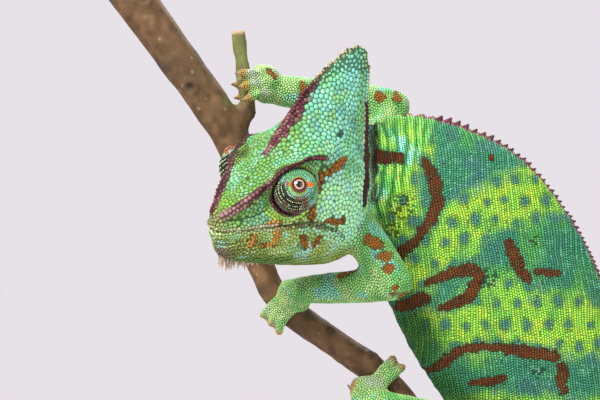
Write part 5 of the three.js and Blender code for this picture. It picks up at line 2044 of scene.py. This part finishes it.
# --- studio
@dataclass
class Studio:
    """A pale floor, soft lamps and the camera."""

    backdrop: Colour = (0.80, 0.76, 0.80)
    sky: Colour = (0.93, 0.96, 1.0)
    sky_level: float = 0.32
    lens: float = 114.84
    camera: tuple[float, float, float] = (0.0, -600.0, 0.0)
    aim: tuple[float, float, float] = (30.0, 25.0, -20.0)
    floor_radius: float = 1.3
    # The lamps: name, place and side in millimetres, power in watts, and colour.
    LAMPS = (
        ("key", (-380, -460, 600), 420, 17.0, (1.0, 0.985, 0.96)),
        ("fill", (520, -420, 160), 600, 2.6, (0.96, 0.98, 1.0)),
        ("rim", (160, 520, 480), 420, 6.0, (1.0, 1.0, 1.0)),
    )

    def build(self) -> None:
        """Builds floor, light and camera."""
        self._floor()
        self._world()
        self._lamps()
        self._camera()

    def _floor(self) -> None:
        """Builds the floor as a wide round disc under the stand."""
        bm = bmesh.new()
        bmesh.ops.create_circle(bm, cap_ends=True, segments=96, radius=self.floor_radius)
        mesh = bpy.data.meshes.new("floor")
        bm.to_mesh(mesh)
        bm.free()
        paint = Paint("pale_floor", Roughness=0.9, Specular_IOR_Level=0.1)
        cloud = paint.grain(6.0, 2.0)
        paint.drive(Base_Color=paint.blend(cloud, tuple(0.97 * c for c in self.backdrop), self.backdrop))
        mesh.materials.append(paint.material)
        link("floor", mesh)

    def _world(self) -> None:
        """Sets an even, neutral sky, and the pale backdrop that camera and gloss see."""
        world = bpy.data.worlds.new("studio")
        bpy.context.scene.world = world
        tree = Tree(world)
        camera, glossy, through = (
            tree.add("ShaderNodeLightPath", {}, {}, f"Is {ray} Ray") for ray in ("Camera", "Glossy", "Transmission")
        )
        sky = tree.add("ShaderNodeBackground", {}, {"Color": self.sky, "Strength": self.sky_level})
        drop = tree.add("ShaderNodeBackground", {}, {"Color": self.backdrop})
        seen = tree.add("ShaderNodeMixShader", {}, {0: camera.larger(glossy.larger(through)), 1: sky, 2: drop})
        tree.plug(tree.nodes["World Output"].inputs["Surface"], seen)

    def _lamps(self) -> None:
        """Adds square soft lamps that look at the animal's middle."""
        for name, place, size, power, colour in self.LAMPS:
            light = bpy.data.lights.new(name, "AREA")
            light.size, light.energy, light.color = size * MM, power, colour
            lamp = link(name, light)
            at, aim = (Vector(PLACE.to_row(spot)) for spot in (place, self.aim))
            lamp.location = at
            lamp.rotation_euler = (aim - at).to_track_quat("-Z", "Y").to_euler()

    def _camera(self) -> None:
        """Adds the camera, level and square to the part's back axis."""
        view = bpy.data.cameras.new("camera")
        view.lens, view.sensor_width, view.clip_start = self.lens, 36.0, 0.01
        camera = link("camera", view)
        camera.location = Vector(PLACE.to_row(self.camera))
        camera.rotation_euler = (math.radians(90), 0.0, 0.0)
        bpy.context.scene.camera = camera
        bpy.context.scene.view_settings.view_transform = "Standard"


# --- the tail's line
def tail_line() -> Array:
    """Returns the tail's middle line: straight down from the hips, then a coil that tightens."""
    x, y, z = 89.0, 31.0, -128.0
    drop, coil, inner, turns, swing = 37.0, 27.0, 5.5, 1.62, 11.0
    line = [(x, y - 1.5 * u * u, z - drop * u) for u in np.linspace(0, 1, 18, endpoint=False)]
    for u in np.linspace(0, 1, 90):
        left = (1 - u) ** 1.5
        angle, radius = 2 * math.pi * turns * (1 - left), inner + (coil - inner) * left**1.5
        back = y - 1.5 - swing * smooth(0, 0.8, u)
        line.append((x - coil + radius * math.cos(angle), back, z - drop - radius * math.sin(angle)))
    return np.array(line)


def main() -> None:
    """Builds the animal, its perch, the stand and the studio, in that order."""
    logging.basicConfig(level=logging.INFO, format="%(message)s")
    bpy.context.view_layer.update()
    flesh = Flesh()
    skin = Skin(flesh)
    ornaments = Ornaments(flesh.spikes, skin)
    markings = Markings(tail_line(), ornaments.claw_roots())
    coat = ScaleCoat(skin, markings)
    ornaments.crest()
    ornaments.beard()
    ornaments.claws()
    skin.dress(markings)
    if coat:
        coat.build()
    Eye("left", (27.5, 12.9, 14.8), (0.550, 0.695, 0.463)).build()
    Eye("right", (27.5, -12.9, 14.8), (0.3, -0.62, 0.72)).build()
    Perch().build()
    Stand().build()
    Studio().build()


if __name__ == "__main__":
    main()
